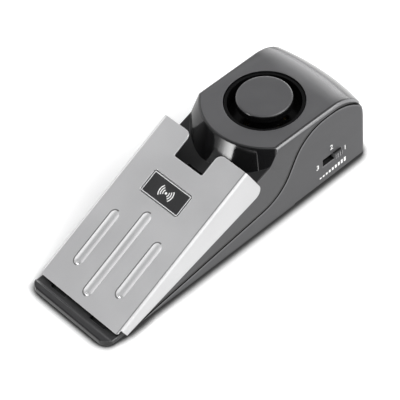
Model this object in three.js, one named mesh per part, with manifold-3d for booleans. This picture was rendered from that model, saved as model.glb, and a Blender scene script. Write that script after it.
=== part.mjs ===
// Door stop alarm: a wedge shaped alarm that lies on the floor behind a door.
//
// A moulded housing in two halves meets along an S-curved seam. A folded sheet plate is hinged in the
// toe and covers the sloping deck. A door that reaches the plate presses it down on a sprung plunger,
// which closes a push switch on the board, and the siren under the round cap in the head sounds.
//
// X runs across, Y runs from the toe to the head, and Z points up from the floor. Sizes are in
// millimetres. Places along the part are measured from a line close behind the tip of the toe, which
// the lip passes by toe.reach, and the sides end bodyLength behind that line. The whole group is moved
// back at the end, so that the origin is under the middle of the part.

import * as THREE from 'three';
import { mergeVertices } from 'three/addons/utils/BufferGeometryUtils.js';
import Module from 'manifold-3d';

const wasm = await Module();
wasm.setup();

// Sizes that several pieces share
const clearance = 0.3;
const seatGap = 0.2;
const overrun = 6;

const body = { footHeight: 0.5, floor: 2.5, wall: 2, edgeRadius: 0.6, toeRadius: 4.5, innerRearRadius: 2 };
const toe = {
  reach: 0.7,
  lipTop: 3.1,
  lipDepth: 1.9,
  noseRadius: 0.7,
  stepRun: 1,
  troughTop: 2.5,
  roofOverCavity: 1.2,
};
const deck = { frontAlong: 6.2, frontUp: 2.5, rearAlong: 88.4, belowHeadTop: 7, runUnderHead: 12 };
const head = {
  rearRadius: 17,
  drumRadius: 27.7,
  drumAlong: 109.5,
  footUnderDeck: 5,
  drumDraftShare: 0.28,
  drumLeanShare: 0.26,
  rimRadius: 0.9,
  edgeRadius: 1.5,
  edgeSteps: 3,
  roundingSteps: 10,
  rearCrown: 3,
  crownSteps: 10,
  blockAlong: 96,
};

// The seam between the housing halves, in side view
const seam = {
  width: 0.9,
  lineAlong: 8.25,
  riserAlong: 15,
  steepAlong: 101,
  steepUp: 26,
  lineAngle: THREE.MathUtils.degToRad(7.6),
  steepAngle: THREE.MathUtils.degToRad(60),
  lowerRadius: 20,
  upperRadius: 20,
  belowTop: 2.7,
  rearRadius: 22,
  rearUp: 27,
  floorAlong: 18.5,
};
const locatingTab = {
  alongs: [45, 62],
  length: 8,
  thickness: 1.1,
  reach: 2,
  root: 3,
  rearHalfWidth: 6,
  rearReach: 1.8,
  rearRoot: 6,
};

// The pressed plate, with its own frame: run from its front edge up the slope, rise square to the sheet
const plate = {
  frontAlong: 5.1,
  frontUp: 4.1,
  travel: THREE.MathUtils.degToRad(5),
  rearBeforeDrum: 6.63,
  rearAboveHead: 0.1,
  sheet: 0.6,
  foldRadius: 1.5,
  cornerInset: 1,
  cornerRadius: 0.9,
  flangeStart: 2.2,
  flangeFrontDepth: 4.8,
  flangeRearDepth: 17.6,
  flangeCornerRadius: 4,
  notchWidth: 15.7,
  notchDepth: 11,
  notchCornerRadius: 0.8,
  fingerRadius: 3,
};
const hinge = {
  along: 5.2,
  up: 2.9,
  tabOffset: 11.4,
  tabWidth: 7.8,
  tabDrop: 2.4,
  slotFront: 4.2,
  slotLength: 2.8,
  slotFloor: 1,
};
const rib = { outerOffset: 12.1, outerStart: 13.3, outerEnd: 35.2, middleStart: 6.3, middleEnd: 42, halfWidth: 2.2 };
const ribForm = {
  height: 0.7,
  endSteps: 6,
  levelShares: [0, 0.38, 0.72, 0.93, 1],
  widthShares: [1, 0.8, 0.55, 0.28, 0.1],
};
const label = { width: 20.6, run: 9.9, beforeRear: 24.5, thickness: 0.3, recess: 0.55, seat: 0.1, cornerRadius: 1 };
const tongue = { width: 13, hookReach: 4, slotFront: 68.3, slotLength: 3.1 };

// The trigger under the plate
const plunger = { along: 56, radius: 4, wall: 0.9, flangeRadius: 5, flangeThickness: 0.8, flangeTop: 17.4 };
const spring = { coilRadius: 2.3, wireRadius: 0.25, turns: 9, stepsPerTurn: 8, sides: 5 };
const bumper = { radius: 3, offset: 15, along: 62, pocketDepth: 1.2 };
const tact = { size: 6, height: 3.4, wellRadius: 1.9, wellDepth: 1.3, stemRadius: 1.6 };
const tactSeat = { radius: 2.9, thickness: 0.8, pipRadius: 1.7, pipHeight: 0.6 };

// The siren in the head
const siren = {
  along: 107,
  openingRadius: 16.4,
  collarWall: 1.2,
  collarDepth: 6.4,
  capRadius: 11.4,
  capRise: 2.6,
  capThickness: 3.4,
  capWall: 1.4,
  capEdge: 0.9,
};
const cup = {
  lip: 0.5,
  wall: 1.2,
  overBattery: 8.6,
  depth: 10,
  floorThickness: 1.6,
  postRadius: 3.4,
  ledgeInset: 1.4,
  ledgeDepth: 0.8,
  rimWall: 1.2,
  rimDepth: 2,
  holeCount: 10,
  holeRadius: 1.3,
  holeRingRadius: 8.4,
};
const piezo = {
  radius: 13.5,
  thickness: 0.4,
  ceramicRadius: 9.5,
  ceramicThickness: 0.3,
  ringWidth: 2,
  ringThickness: 0.8,
};

// The battery and its bay
const battery = {
  width: 26.5,
  length: 46.4,
  height: 17.5,
  frontAlong: 87.5,
  edgeRadius: 1.5,
  studOffset: 6.35,
  studRadius: 2.9,
  socketRadius: 3.7,
  studHeight: 2.1,
};
const snap = { sideInset: 3.75, height: 9.6, thickness: 3, wellDepth: 2.4, edgeRadius: 2 };
const bay = {
  wall: 1.1,
  wallUp: 17,
  ribWidth: 3,
  ribThickness: 1.3,
  foamWidth: 20,
  foamThickness: 3.7,
  foamInset: 2,
};
const door = {
  frontAlong: 82.3,
  rearReach: 1.8,
  tongueReach: 1,
  tongueThickness: 0.8,
  railWidth: 2.6,
  railThickness: 1.2,
  gripCount: 5,
  gripWidth: 17,
  gripRun: 1,
  gripPitch: 2.2,
  gripDepth: 0.5,
  gripRear: 7,
};

// The board and what is soldered on it
const board = {
  frontAlong: 36,
  rearAlong: 78,
  halfWidth: 16,
  up: 5.4,
  thickness: 1.6,
  postRadius: 2.4,
  postInset: 3,
};
const boardScrew = { headRadius: 2, headHeight: 1.2, shankRadius: 0.9, length: 3.2 };
const chip = {
  across: -9.5,
  along: 45,
  width: 5.2,
  length: 8,
  height: 2,
  legWidth: 7.4,
  legThickness: 0.5,
  notch: 0.6,
};
const coil = { across: 11, along: 66.5, flangeRadius: 4, windRadius: 3.3, flangeHeight: 1, height: 8 };
const capacitor = { across: -11, along: 64, radius: 2.5, height: 8, groove: 0.25, grooveUp: 1, grooveRun: 0.6 };
const transistor = { across: 10, along: 55.5, radius: 2.3, flat: 1.3, height: 4.4, standOff: 1 };
const sensor = { across: 10, along: 44.5, radius: 2.3, length: 10, capLength: 1.2, capInset: 0.4 };
const resistor = {
  radius: 0.9,
  waist: 0.7,
  length: 4.2,
  capLength: 0.9,
  across: -3.6,
  along: 39,
  pitch: 2.6,
  count: 4,
};

// The slide switches in the cheeks
const slider = {
  slotLength: 10.2,
  slotUp: 12.35,
  slotHeight: 3.8,
  caseLength: 12.8,
  caseHeight: 5.6,
  caseDepth: 4.9,
  windowDepth: 1.2,
  sideGap: 0.35,
  knobLength: 3.8,
  knobHeight: 2.2,
  knobReach: 1.3,
  ridgeCount: 3,
  ridgeRun: 0.5,
  ridgeDepth: 0.3,
  shelfLength: 9,
};

// The battery settles the body's length, and with a slide switch on each side of it the body's width.
// The head is as high as the battery, the sounder's leads and the siren's cup make it, and the plate
// rises to the head's top just before the drum. Some pieces keep their distance from the rear face and
// the sides.
const bodyLength = battery.frontAlong + battery.length + bay.foamThickness + 2 * seatGap + body.wall;
const halfWidth = battery.width / 2 + bay.wall + slider.sideGap + slider.caseDepth + 2 * clearance + body.wall;
const middleAlong = (bodyLength + head.rearCrown - toe.reach) / 2;
const floorTop = body.footHeight + body.floor;
const batteryUp = floorTop + clearance;
const cupFloorUp = batteryUp + battery.height + cup.overBattery;
const headHeight = cupFloorUp + cup.depth;
const plateRun = head.drumAlong - head.drumRadius - plate.rearBeforeDrum - plate.frontAlong;
const plateRise = headHeight + plate.rearAboveHead - plate.frontUp;
const plateAngle = Math.atan2(plateRise, plateRun);
const plateLength = Math.hypot(plateRun, plateRise);
const labelMiddle = plateLength - label.beforeRear;
const rearInset = { switchSlot: 13.6, screw: 6, bayWall: 11 };
const sideInset = { rearScrew: 4.8, frontPad: 4.2, rearPadOuter: 1.8, rearPadInner: 6.6, ribbon: 5 };

// Screws, pads and wires
const screw = {
  headRadius: 2.15,
  headHeight: 1.4,
  shankRadius: 1.1,
  holeRadius: 1.4,
  pocketRadius: 2.45,
  tubeRadius: 3.3,
};
const frontScrew = { across: 14, along: 30, seatUp: 3.2, tubeUp: 6.2, length: 6, bossRadius: 2.8, holeSpare: 0.3 };
const rearScrew = {
  across: halfWidth - sideInset.rearScrew,
  along: bodyLength - rearInset.screw,
  seatUp: 7.5,
  tubeUp: 13,
  length: 11,
  bossRadius: 2.5,
  holeSpare: 1.2,
};
const frontPad = { halfWidth: halfWidth - sideInset.frontPad, frontAlong: 8.2, run: 5.2, pocket: 0.6 };
const rearPad = {
  inner: halfWidth - sideInset.rearPadInner,
  outer: halfWidth - sideInset.rearPadOuter,
  frontAlong: 92,
  run: 32,
  pocket: 0.6,
};
const lead = { radius: 0.65, sides: 8, stepShare: 2.6 };
const ribbon = { radius: 0.6, endGap: 0.5, joinShare: 0.85, stepShare: 3 };

const innerHalfWidth = halfWidth - body.wall;
const slotRearAlong = bodyLength - rearInset.switchSlot;
const deckSlope = (headHeight - deck.belowHeadTop - deck.frontUp) / (deck.rearAlong - deck.frontAlong);
const deckWallUp = body.wall * Math.hypot(1, deckSlope);
const rearCentreAlong = bodyLength - head.rearRadius;
const rearCentreUp = headHeight - head.rearRadius;
const innerRearAlong = bodyLength - body.wall;
const boardTop = board.up + board.thickness;
const bayHalfWidth = battery.width / 2 + clearance;
const skyUp = headHeight + overrun;
const weldTolerance = 1e-4;

// Solids from three.js geometries

function solidFrom(geometry) {
  const bare = geometry.index ? geometry.toNonIndexed() : geometry.clone();
  bare.deleteAttribute('normal');
  bare.deleteAttribute('uv');
  const welded = mergeVertices(bare, weldTolerance);
  const points = new Float32Array(welded.attributes.position.array);
  const corners = wholeTriangles(welded.index.array);
  if (signedVolume(points, corners) < 0) {
    corners.reverse();
  }
  return new wasm.Manifold(new wasm.Mesh({ numProp: 3, vertProperties: points, triVerts: corners }));
}

function wholeTriangles(index) {
  const kept = [];
  for (let i = 0; i < index.length; i += 3) {
    const [a, b, c] = [index[i], index[i + 1], index[i + 2]];
    if (a !== b && b !== c && c !== a) {
      kept.push(a, b, c);
    }
  }
  return new Uint32Array(kept);
}

function signedVolume(points, corners) {
  const at = (i) => new THREE.Vector3().fromArray(points, 3 * i);
  let sum = 0;
  for (let i = 0; i < corners.length; i += 3) {
    sum += at(corners[i]).dot(at(corners[i + 1]).cross(at(corners[i + 2])));
  }
  return sum / 6;
}

function geometryFrom(solid) {
  const mesh = solid.getMesh();
  const geometry = new THREE.BufferGeometry();
  geometry.setAttribute('position', new THREE.BufferAttribute(mesh.vertProperties, 3));
  geometry.setIndex(new THREE.BufferAttribute(mesh.triVerts, 1));
  geometry.computeVertexNormals();
  return geometry;
}

function joined(solids) {
  return solids.reduce((whole, solid) => whole.add(solid));
}

// A span across the part on one side of its middle, given as it lies on the right side
function sorted(side, a, b) {
  return side > 0 ? [a, b] : [-b, -a];
}

function box(x0, x1, y0, y1, z0, z1) {
  const geometry = new THREE.BoxGeometry(x1 - x0, y1 - y0, z1 - z0);
  geometry.translate((x0 + x1) / 2, (y0 + y1) / 2, (z0 + z1) / 2);
  return solidFrom(geometry);
}

function upright(x, y, radius, z0, z1, sides = 24) {
  const geometry = new THREE.CylinderGeometry(radius, radius, z1 - z0, sides);
  geometry.rotateX(Math.PI / 2);
  geometry.translate(x, y, (z0 + z1) / 2);
  return solidFrom(geometry);
}

// A profile of [radius, up] points turned about an upright axis
function turnedGeometry(profile, x, y, sides) {
  const geometry = new THREE.LatheGeometry(profile.map(([r, z]) => new THREE.Vector2(r, z)), sides);
  geometry.rotateX(Math.PI / 2);
  geometry.translate(x, y, 0);
  return geometry;
}

function revolve(profile, x, y, sides = 32) {
  return solidFrom(turnedGeometry(profile, x, y, sides));
}

// A plan outline pushed up from z0 to z1
function raise(shape, z0, z1, curveSegments = 6) {
  const geometry = new THREE.ExtrudeGeometry(shape, { depth: z1 - z0, bevelEnabled: false, curveSegments });
  geometry.translate(0, 0, z0);
  return solidFrom(geometry);
}

// A side outline pushed across from x0 to x1, with its edges rounded where edge is more than zero
function pushAcross(shape, x0, x1, edge = 0, curveSegments = 10) {
  const geometry = new THREE.ExtrudeGeometry(shape, {
    depth: x1 - x0 - 2 * edge,
    bevelEnabled: edge > 0,
    bevelThickness: edge,
    bevelSize: edge,
    bevelOffset: -edge,
    bevelSegments: 3,
    curveSegments,
  });
  geometry.translate(0, 0, x0 + edge);
  const turn = new THREE.Matrix4().makeBasis(
    new THREE.Vector3(0, 1, 0), new THREE.Vector3(0, 0, 1), new THREE.Vector3(1, 0, 0));
  geometry.applyMatrix4(turn);
  return solidFrom(geometry);
}

function outlineOf(points) {
  return new THREE.Shape(points.map(([a, b]) => new THREE.Vector2(a, b)));
}

// A rectangle in plan, with one radius at its low corners and one at its high corners
function roundedPlan(x0, x1, y0, y1, lowRadius, highRadius = lowRadius) {
  const quarter = Math.PI / 2;
  const shape = new THREE.Shape();
  shape.absarc(x0 + lowRadius, y0 + lowRadius, lowRadius, 2 * quarter, 3 * quarter);
  shape.absarc(x1 - lowRadius, y0 + lowRadius, lowRadius, 3 * quarter, 4 * quarter);
  shape.absarc(x1 - highRadius, y1 - highRadius, highRadius, 0, quarter);
  shape.absarc(x0 + highRadius, y1 - highRadius, highRadius, quarter, 2 * quarter);
  shape.closePath();
  return shape;
}

// Rings of equally many points joined into a closed skin, each end closed from its middle point
function loft(rings) {
  const count = rings[0].length;
  const points = rings.flat();
  const middle = (ring) => ring.reduce((sum, p) => sum.add(p), new THREE.Vector3()).divideScalar(count);
  const first = points.push(middle(rings[0])) - 1;
  const last = points.push(middle(rings[rings.length - 1])) - 1;
  const index = [];
  for (let i = 0; i < count; i += 1) {
    const next = (i + 1) % count;
    for (let k = 0; k < rings.length - 1; k += 1) {
      const [low, high] = [k * count, (k + 1) * count];
      index.push(low + i, low + next, high + next, low + i, high + next, high + i);
    }
    const top = (rings.length - 1) * count;
    index.push(first, next, i, last, top + i, top + next);
  }
  const geometry = new THREE.BufferGeometry().setFromPoints(points);
  geometry.setIndex(index);
  return solidFrom(geometry);
}

// A section swept along a smooth route through chosen points
function sweep(route, section, stepLength) {
  const curve = new THREE.CatmullRomCurve3(route.map(([x, y, z]) => new THREE.Vector3(x, y, z)));
  const steps = Math.ceil(curve.getLength() / stepLength);
  return solidFrom(new THREE.ExtrudeGeometry(section, { steps, extrudePath: curve, bevelEnabled: false }));
}

// The outer form of the housing

function deckUp(along) {
  return deck.frontUp + (along - deck.frontAlong) * deckSlope;
}

function deckUnderUp(along) {
  return deckUp(along) - deckWallUp;
}

function deckAlongAt(up) {
  return deck.frontAlong + (up - deck.frontUp) / deckSlope;
}

function wedgeOutline() {
  const end = deck.rearAlong + deck.runUnderHead;
  const shape = new THREE.Shape();
  shape.moveTo(end, body.footHeight);
  shape.lineTo(-toe.reach, body.footHeight);
  shape.absarc(toe.noseRadius - toe.reach, toe.lipTop - toe.noseRadius, toe.noseRadius,
    Math.PI, Math.PI / 2, true);
  shape.lineTo(toe.lipDepth, toe.lipTop);
  shape.lineTo(toe.lipDepth + toe.stepRun, toe.troughTop);
  shape.lineTo(deck.frontAlong, deck.frontUp);
  shape.lineTo(end, deckUp(end));
  shape.closePath();
  return shape;
}

// The head in side view: a box with a large rounding at the top of its back
function headOutline(inset) {
  const low = body.footHeight + inset;
  const front = head.drumAlong - head.drumRadius - overrun;
  const points = [[front, low], [bodyLength - inset, low]];
  for (let i = 0; i <= head.roundingSteps; i += 1) {
    const angle = (Math.PI / 2) * (i / head.roundingSteps);
    const radius = head.rearRadius - inset;
    points.push([rearCentreAlong + radius * Math.cos(angle), rearCentreUp + radius * Math.sin(angle)]);
  }
  points.push([front, headHeight - inset]);
  return points;
}

// The same outline carried across the part, drawn in at the edges, with a back that stands out further
// in the middle than at the sides
function headEnvelope() {
  const { edgeRadius, edgeSteps, crownSteps } = head;
  const flat = halfWidth - edgeRadius;
  const places = [];
  for (let i = 0; i < edgeSteps; i += 1) {
    const angle = (Math.PI / 2) * (i / edgeSteps);
    places.push([flat + edgeRadius * Math.cos(angle), edgeRadius * (1 - Math.sin(angle))]);
  }
  const mirrored = places.map(([x, inset]) => [-x, inset]).reverse();
  for (let i = 0; i <= crownSteps; i += 1) {
    places.push([flat * (1 - (2 * i) / crownSteps), 0]);
  }
  places.push(...mirrored);
  return loft(places.map(([x, inset]) => headOutline(inset).map(([along, up]) => {
    const rearShare = Math.max(0, along - rearCentreAlong) / head.rearRadius;
    return new THREE.Vector3(x, along + head.rearCrown * rearShare * (1 - (x / halfWidth) ** 2), up);
  })));
}

// The round front of the head: a drum that widens and leans forward on its way down
function drum(inset, rim) {
  const top = headHeight - inset;
  const radius = head.drumRadius - inset;
  const footUp = deckUp(head.drumAlong - head.drumRadius) - head.footUnderDeck;
  const footRadius = radius + head.drumDraftShare * (top - footUp);
  const profile = [[0, footUp], [footRadius, footUp]];
  const steps = rim > 0 ? 3 : 0;
  for (let i = 0; i <= steps; i += 1) {
    const angle = steps > 0 ? (Math.PI / 2) * (i / steps) : Math.PI / 2;
    profile.push([radius - rim + rim * Math.cos(angle), top - rim + rim * Math.sin(angle)]);
  }
  profile.push([0, top]);
  const geometry = turnedGeometry(profile, 0, head.drumAlong, 72);
  const points = geometry.attributes.position;
  for (let i = 0; i < points.count; i += 1) {
    points.setY(i, points.getY(i) - head.drumLeanShare * (top - points.getZ(i)));
  }
  return solidFrom(geometry);
}

function rearBlock(inset, rearAlong) {
  return box(inset - halfWidth, halfWidth - inset, head.blockAlong, rearAlong,
    body.footHeight + inset, headHeight - inset);
}

function planForm(inset, rearAlong) {
  const plan = roundedPlan(inset - halfWidth, halfWidth - inset, inset - toe.reach, rearAlong,
    body.toeRadius - inset, body.innerRearRadius);
  return raise(plan, -overrun, skyUp);
}

function outerForm() {
  const wedge = pushAcross(wedgeOutline(), -halfWidth, halfWidth, body.edgeRadius, 4);
  const rearAlong = bodyLength + overrun;
  const block = drum(0, head.rimRadius).add(rearBlock(0, rearAlong)).intersect(headEnvelope());
  return wedge.add(block).intersect(planForm(0, rearAlong));
}

function innerForm() {
  const inset = body.wall;
  const start = deckAlongAt(floorTop + deckWallUp + toe.roofOverCavity);
  const end = deck.rearAlong + deck.runUnderHead;
  const wedge = pushAcross(outlineOf([
    [start, floorTop],
    [end, floorTop],
    [end, deckUnderUp(end)],
    [start, deckUnderUp(start)],
  ]), -innerHalfWidth, innerHalfWidth);
  const envelope = pushAcross(outlineOf(headOutline(inset)), -innerHalfWidth, innerHalfWidth);
  const block = drum(inset, 0).add(rearBlock(inset, innerRearAlong)).intersect(envelope);
  return wedge.add(block).intersect(planForm(inset, innerRearAlong));
}

// The seam in side view, moved to its left by a distance: a nearly level line, an S of two arcs, a
// line just under the top edge, an arc down to the back, and a level line across the back
function seamPath(shift) {
  const { lineAngle, steepAngle, lowerRadius, upperRadius } = seam;
  const topUp = headHeight - seam.belowTop;
  const cotSteep = 1 / Math.tan(steepAngle);
  const lineUp = (along) => body.footHeight + (along - seam.lineAlong) * Math.tan(lineAngle);
  const steepFoot = seam.steepAlong - seam.steepUp * cotSteep;
  const cornerAlong = (steepFoot + (body.footHeight - seam.lineAlong * Math.tan(lineAngle)) * cotSteep)
    / (1 - Math.tan(lineAngle) * cotSteep);
  const tangent = lowerRadius * Math.tan((steepAngle - lineAngle) / 2);
  const lowerCentre = [
    cornerAlong - tangent * Math.cos(lineAngle) - lowerRadius * Math.sin(lineAngle),
    lineUp(cornerAlong) - tangent * Math.sin(lineAngle) + lowerRadius * Math.cos(lineAngle),
  ];
  const upperCentre = [
    steepFoot + topUp * cotSteep + upperRadius * Math.tan(steepAngle / 2),
    topUp - upperRadius,
  ];
  const rearFoot = topUp - seam.rearRadius;
  const rearRun = Math.sqrt(seam.rearRadius ** 2 - (seam.rearUp - rearFoot) ** 2);
  const rearRadius = seam.rearRadius + shift;
  const rearAngle = Math.acos((seam.rearUp + shift - rearFoot) / rearRadius);
  const start = seam.riserAlong - shift;
  const points = [[start, -overrun], [start, lineUp(start) + shift / Math.cos(lineAngle)]];
  const steps = 8;
  for (let i = 0; i <= steps; i += 1) {
    const angle = lineAngle + (steepAngle - lineAngle) * (i / steps);
    const radius = lowerRadius - shift;
    points.push([lowerCentre[0] + radius * Math.sin(angle), lowerCentre[1] - radius * Math.cos(angle)]);
  }
  for (let i = 0; i <= steps; i += 1) {
    const angle = steepAngle * (1 - i / steps);
    const radius = upperRadius + shift;
    points.push([upperCentre[0] - radius * Math.sin(angle), upperCentre[1] + radius * Math.cos(angle)]);
  }
  for (let i = 0; i <= steps; i += 1) {
    const angle = rearAngle * (i / steps);
    points.push([bodyLength - rearRun + rearRadius * Math.sin(angle), rearFoot + rearRadius * Math.cos(angle)]);
  }
  points.push([bodyLength + overrun, seam.rearUp + shift]);
  return points;
}

function seamUp(along) {
  return body.footHeight + (along - seam.lineAlong) * Math.tan(seam.lineAngle);
}

function aboveSeam() {
  const points = seamPath(seam.width / 2);
  points.push([bodyLength + overrun, skyUp], [-overrun, skyUp], [-overrun, -overrun]);
  return pushAcross(outlineOf(points), -halfWidth - overrun, halfWidth + overrun);
}

function belowSeam() {
  const points = seamPath(-seam.width / 2);
  points.push([bodyLength + overrun, -overrun]);
  return pushAcross(outlineOf(points), -halfWidth - overrun, halfWidth + overrun);
}

// The plate's frame seen from the side

function bodyToPlate(along, up) {
  const [c, s] = [Math.cos(plateAngle), Math.sin(plateAngle)];
  const [a, b] = [along - plate.frontAlong, up - plate.frontUp];
  return [a * c + b * s, b * c - a * s];
}

// How high the centre of a round nose may stand, for the nose to stay clear of the plate's underside
// once the plate has turned by an angle about its hinge. The underside lies a depth below the sheet's top.
function noseCentreUp(along, radius, depth, turned) {
  const hingeRise = bodyToPlate(hinge.along, hinge.up)[1];
  const slope = plateAngle - turned;
  const reach = -depth - hingeRise - radius - clearance;
  return hinge.up + (along - hinge.along) * Math.tan(slope) + reach / Math.cos(slope);
}

// Housing halves

function screwHoles(place, topUp) {
  return [-1, 1].map((side) => upright(side * place.across, place.along, screw.holeRadius, floorTop, topUp, 16));
}

function topHousing() {
  let shell = outerForm().intersect(aboveSeam());
  shell = shell.subtract(innerForm());
  shell = shell.subtract(box(-innerHalfWidth, innerHalfWidth, seam.floorAlong - clearance, innerRearAlong,
    -overrun, floorTop + clearance));
  shell = shell.add(screwPosts()).add(locatingTabs()).add(sirenCollar());
  for (const hole of screwHoles(frontScrew, frontScrew.seatUp + frontScrew.length + frontScrew.holeSpare)) {
    shell = shell.subtract(hole);
  }
  for (const hole of screwHoles(rearScrew, rearScrew.seatUp + rearScrew.length + rearScrew.holeSpare)) {
    shell = shell.subtract(hole);
  }
  shell = shell.subtract(upright(0, siren.along, siren.openingRadius, cupFloorUp, skyUp, 48));
  shell = shell.subtract(triggerHole()).subtract(tongueSlot());
  for (const side of [-1, 1]) {
    shell = shell.subtract(hingeSlot(side)).subtract(bumperPocket(side));
  }
  return shell.subtract(frontPadPocket());
}

function screwPosts() {
  const parts = [];
  for (const side of [-1, 1]) {
    parts.push(upright(side * frontScrew.across, frontScrew.along, frontScrew.bossRadius,
      frontScrew.tubeUp + clearance, deckUnderUp(frontScrew.along) + body.wall / 2));
    const rise = Math.sqrt((head.rearRadius - body.wall) ** 2 - (rearScrew.along - rearCentreAlong) ** 2);
    parts.push(upright(side * rearScrew.across, rearScrew.along, rearScrew.bossRadius,
      rearScrew.tubeUp + clearance, rearCentreUp + rise));
  }
  return joined(parts).intersect(outerForm());
}

function locatingTabs() {
  const parts = [];
  const face = innerHalfWidth - clearance;
  for (const along of locatingTab.alongs) {
    const [low, high] = [seamUp(along) - locatingTab.reach, seamUp(along) + locatingTab.root];
    const [front, rear] = [along - locatingTab.length / 2, along + locatingTab.length / 2];
    const shoulder = seamUp(rear) + seam.width;
    for (const side of [-1, 1]) {
      const [inner, outer] = sorted(side, face - locatingTab.thickness, face);
      parts.push(box(inner, outer, front, rear, low, high));
      const [bridgeLow, bridgeHigh] = sorted(side, face - locatingTab.thickness, innerHalfWidth + seatGap);
      parts.push(box(bridgeLow, bridgeHigh, front, rear, shoulder, high));
    }
  }
  const rear = innerRearAlong - clearance;
  parts.push(box(-locatingTab.rearHalfWidth, locatingTab.rearHalfWidth, rear - locatingTab.thickness, rear,
    seam.rearUp - locatingTab.rearReach, seam.rearUp + locatingTab.rearRoot));
  return joined(parts).intersect(outerForm());
}

function sirenCollar() {
  return upright(0, siren.along, siren.openingRadius + siren.collarWall, headHeight - siren.collarDepth,
    headHeight - body.wall / 2, 48);
}

function triggerHole() {
  const through = upright(0, plunger.along, plunger.radius + clearance, floorTop, skyUp, 32);
  const pocket = upright(0, plunger.along, plunger.flangeRadius + clearance, floorTop,
    plunger.flangeTop + clearance, 32);
  return through.add(pocket);
}

function tongueSlot() {
  const reach = tongue.width / 2 + clearance;
  return box(-reach, reach, tongue.slotFront, tongue.slotFront + tongue.slotLength, floorTop, skyUp);
}

function hingeSlot(side) {
  const middle = side * hinge.tabOffset;
  const reach = hinge.tabWidth / 2 + clearance;
  return box(middle - reach, middle + reach, hinge.slotFront, hinge.slotFront + hinge.slotLength,
    body.footHeight + hinge.slotFloor, deck.frontUp + overrun);
}

function bumperPocket(side) {
  return upright(side * bumper.offset, bumper.along, bumper.radius + clearance,
    deckUp(bumper.along) - bumper.pocketDepth, skyUp);
}

function frontPadPocket() {
  return box(-frontPad.halfWidth - clearance, frontPad.halfWidth + clearance, frontPad.frontAlong - clearance,
    frontPad.frontAlong + frontPad.run + clearance, -overrun, body.footHeight + frontPad.pocket);
}

function baseHousing() {
  const outer = outerForm();
  let tub = outer.intersect(belowSeam());
  tub = tub.add(outer.intersect(box(clearance - innerHalfWidth, innerHalfWidth - clearance, seam.floorAlong,
    innerRearAlong, -overrun, floorTop)));
  tub = tub.subtract(tubHollow());
  tub = tub.add(outer.intersect(baseFittings()));
  tub = tub.subtract(doorWay());
  for (const side of [-1, 1]) {
    tub = tub.subtract(switchSlot(side)).subtract(rearPadPocket(side));
    tub = tub.subtract(screwWay(frontScrew, side)).subtract(screwWay(rearScrew, side));
  }
  for (const [x, y] of boardScrewPlaces()) {
    tub = tub.subtract(upright(x, y, boardScrew.shankRadius + clearance, floorTop, boardTop, 12));
  }
  return tub;
}

function tubHollow() {
  const plan = roundedPlan(-innerHalfWidth, innerHalfWidth, seam.floorAlong, innerRearAlong,
    body.innerRearRadius);
  return raise(plan, floorTop, skyUp);
}

function boardPostPlaces() {
  const across = board.halfWidth - board.postInset;
  const alongs = [board.frontAlong + board.postInset, board.rearAlong - board.postInset];
  return alongs.flatMap((along) => [[-across, along], [across, along]]);
}

function boardScrewPlaces() {
  const places = boardPostPlaces();
  return [places[0], places[3]];
}

function baseFittings() {
  const parts = [];
  for (const [x, y] of boardPostPlaces()) {
    parts.push(upright(x, y, board.postRadius, floorTop - seatGap, board.up - seatGap, 16));
  }
  for (const side of [-1, 1]) {
    for (const spot of [frontScrew, rearScrew]) {
      parts.push(upright(side * spot.across, spot.along, screw.tubeRadius, floorTop - seatGap, spot.tubeUp));
    }
    parts.push(...bayWalls(side), switchShelf(side));
  }
  return joined(parts);
}

function bayWalls(side) {
  const railUp = floorTop + clearance + door.railThickness;
  const [wallLow, wallHigh] = sorted(side, bayHalfWidth, bayHalfWidth + bay.wall);
  const [railLow, railHigh] = sorted(side, bayHalfWidth, bayHalfWidth + door.tongueReach + door.railWidth);
  const [ribLow, ribHigh] = sorted(side, bayHalfWidth - bay.ribWidth, bayHalfWidth + bay.wall);
  const ribRear = battery.frontAlong - clearance;
  return [
    box(wallLow, wallHigh, ribRear - bay.ribThickness, bodyLength - rearInset.bayWall, floorTop, bay.wallUp),
    box(railLow, railHigh, door.frontAlong - clearance, innerRearAlong + seatGap, floorTop - seatGap, railUp),
    box(ribLow, ribHigh, ribRear - bay.ribThickness, ribRear, floorTop + clearance, bay.wallUp),
  ];
}

function switchMiddle() {
  return slotRearAlong - slider.slotLength / 2;
}

function switchShelf(side) {
  const outer = innerHalfWidth + seatGap;
  const [low, high] = sorted(side, bayHalfWidth + bay.wall, outer);
  const top = slider.slotUp - slider.caseHeight / 2 - seatGap;
  const half = slider.shelfLength / 2;
  return box(low, high, switchMiddle() - half, switchMiddle() + half, floorTop - seatGap, top);
}

// The way in for the battery and the door: a slot for the door's body, a wider groove above it for its
// tongues, and the bay's own width above that
function doorWay() {
  const front = door.frontAlong - clearance;
  const rear = bodyLength + overrun;
  const bodyHalf = bayHalfWidth + clearance;
  const grooveHalf = bayHalfWidth + door.tongueReach + clearance;
  const ledgeUp = floorTop - door.tongueThickness - clearance;
  const slot = box(-bodyHalf, bodyHalf, front, rear, -overrun, ledgeUp);
  const groove = box(-grooveHalf, grooveHalf, front, rear, ledgeUp, floorTop + clearance);
  const mouth = box(-bayHalfWidth, bayHalfWidth, battery.frontAlong - clearance, innerRearAlong,
    floorTop, floorTop + clearance + door.railThickness);
  return slot.add(groove).add(mouth);
}

function switchSlot(side) {
  const [low, high] = sorted(side, innerHalfWidth - body.wall / 2, halfWidth + overrun);
  const half = slider.slotHeight / 2;
  return box(low, high, slotRearAlong - slider.slotLength, slotRearAlong, slider.slotUp - half,
    slider.slotUp + half);
}

function rearPadPocket(side) {
  const [low, high] = sorted(side, rearPad.inner - clearance, rearPad.outer + clearance);
  return box(low, high, rearPad.frontAlong - clearance, rearPad.frontAlong + rearPad.run + clearance, -overrun,
    body.footHeight + rearPad.pocket);
}

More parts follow.
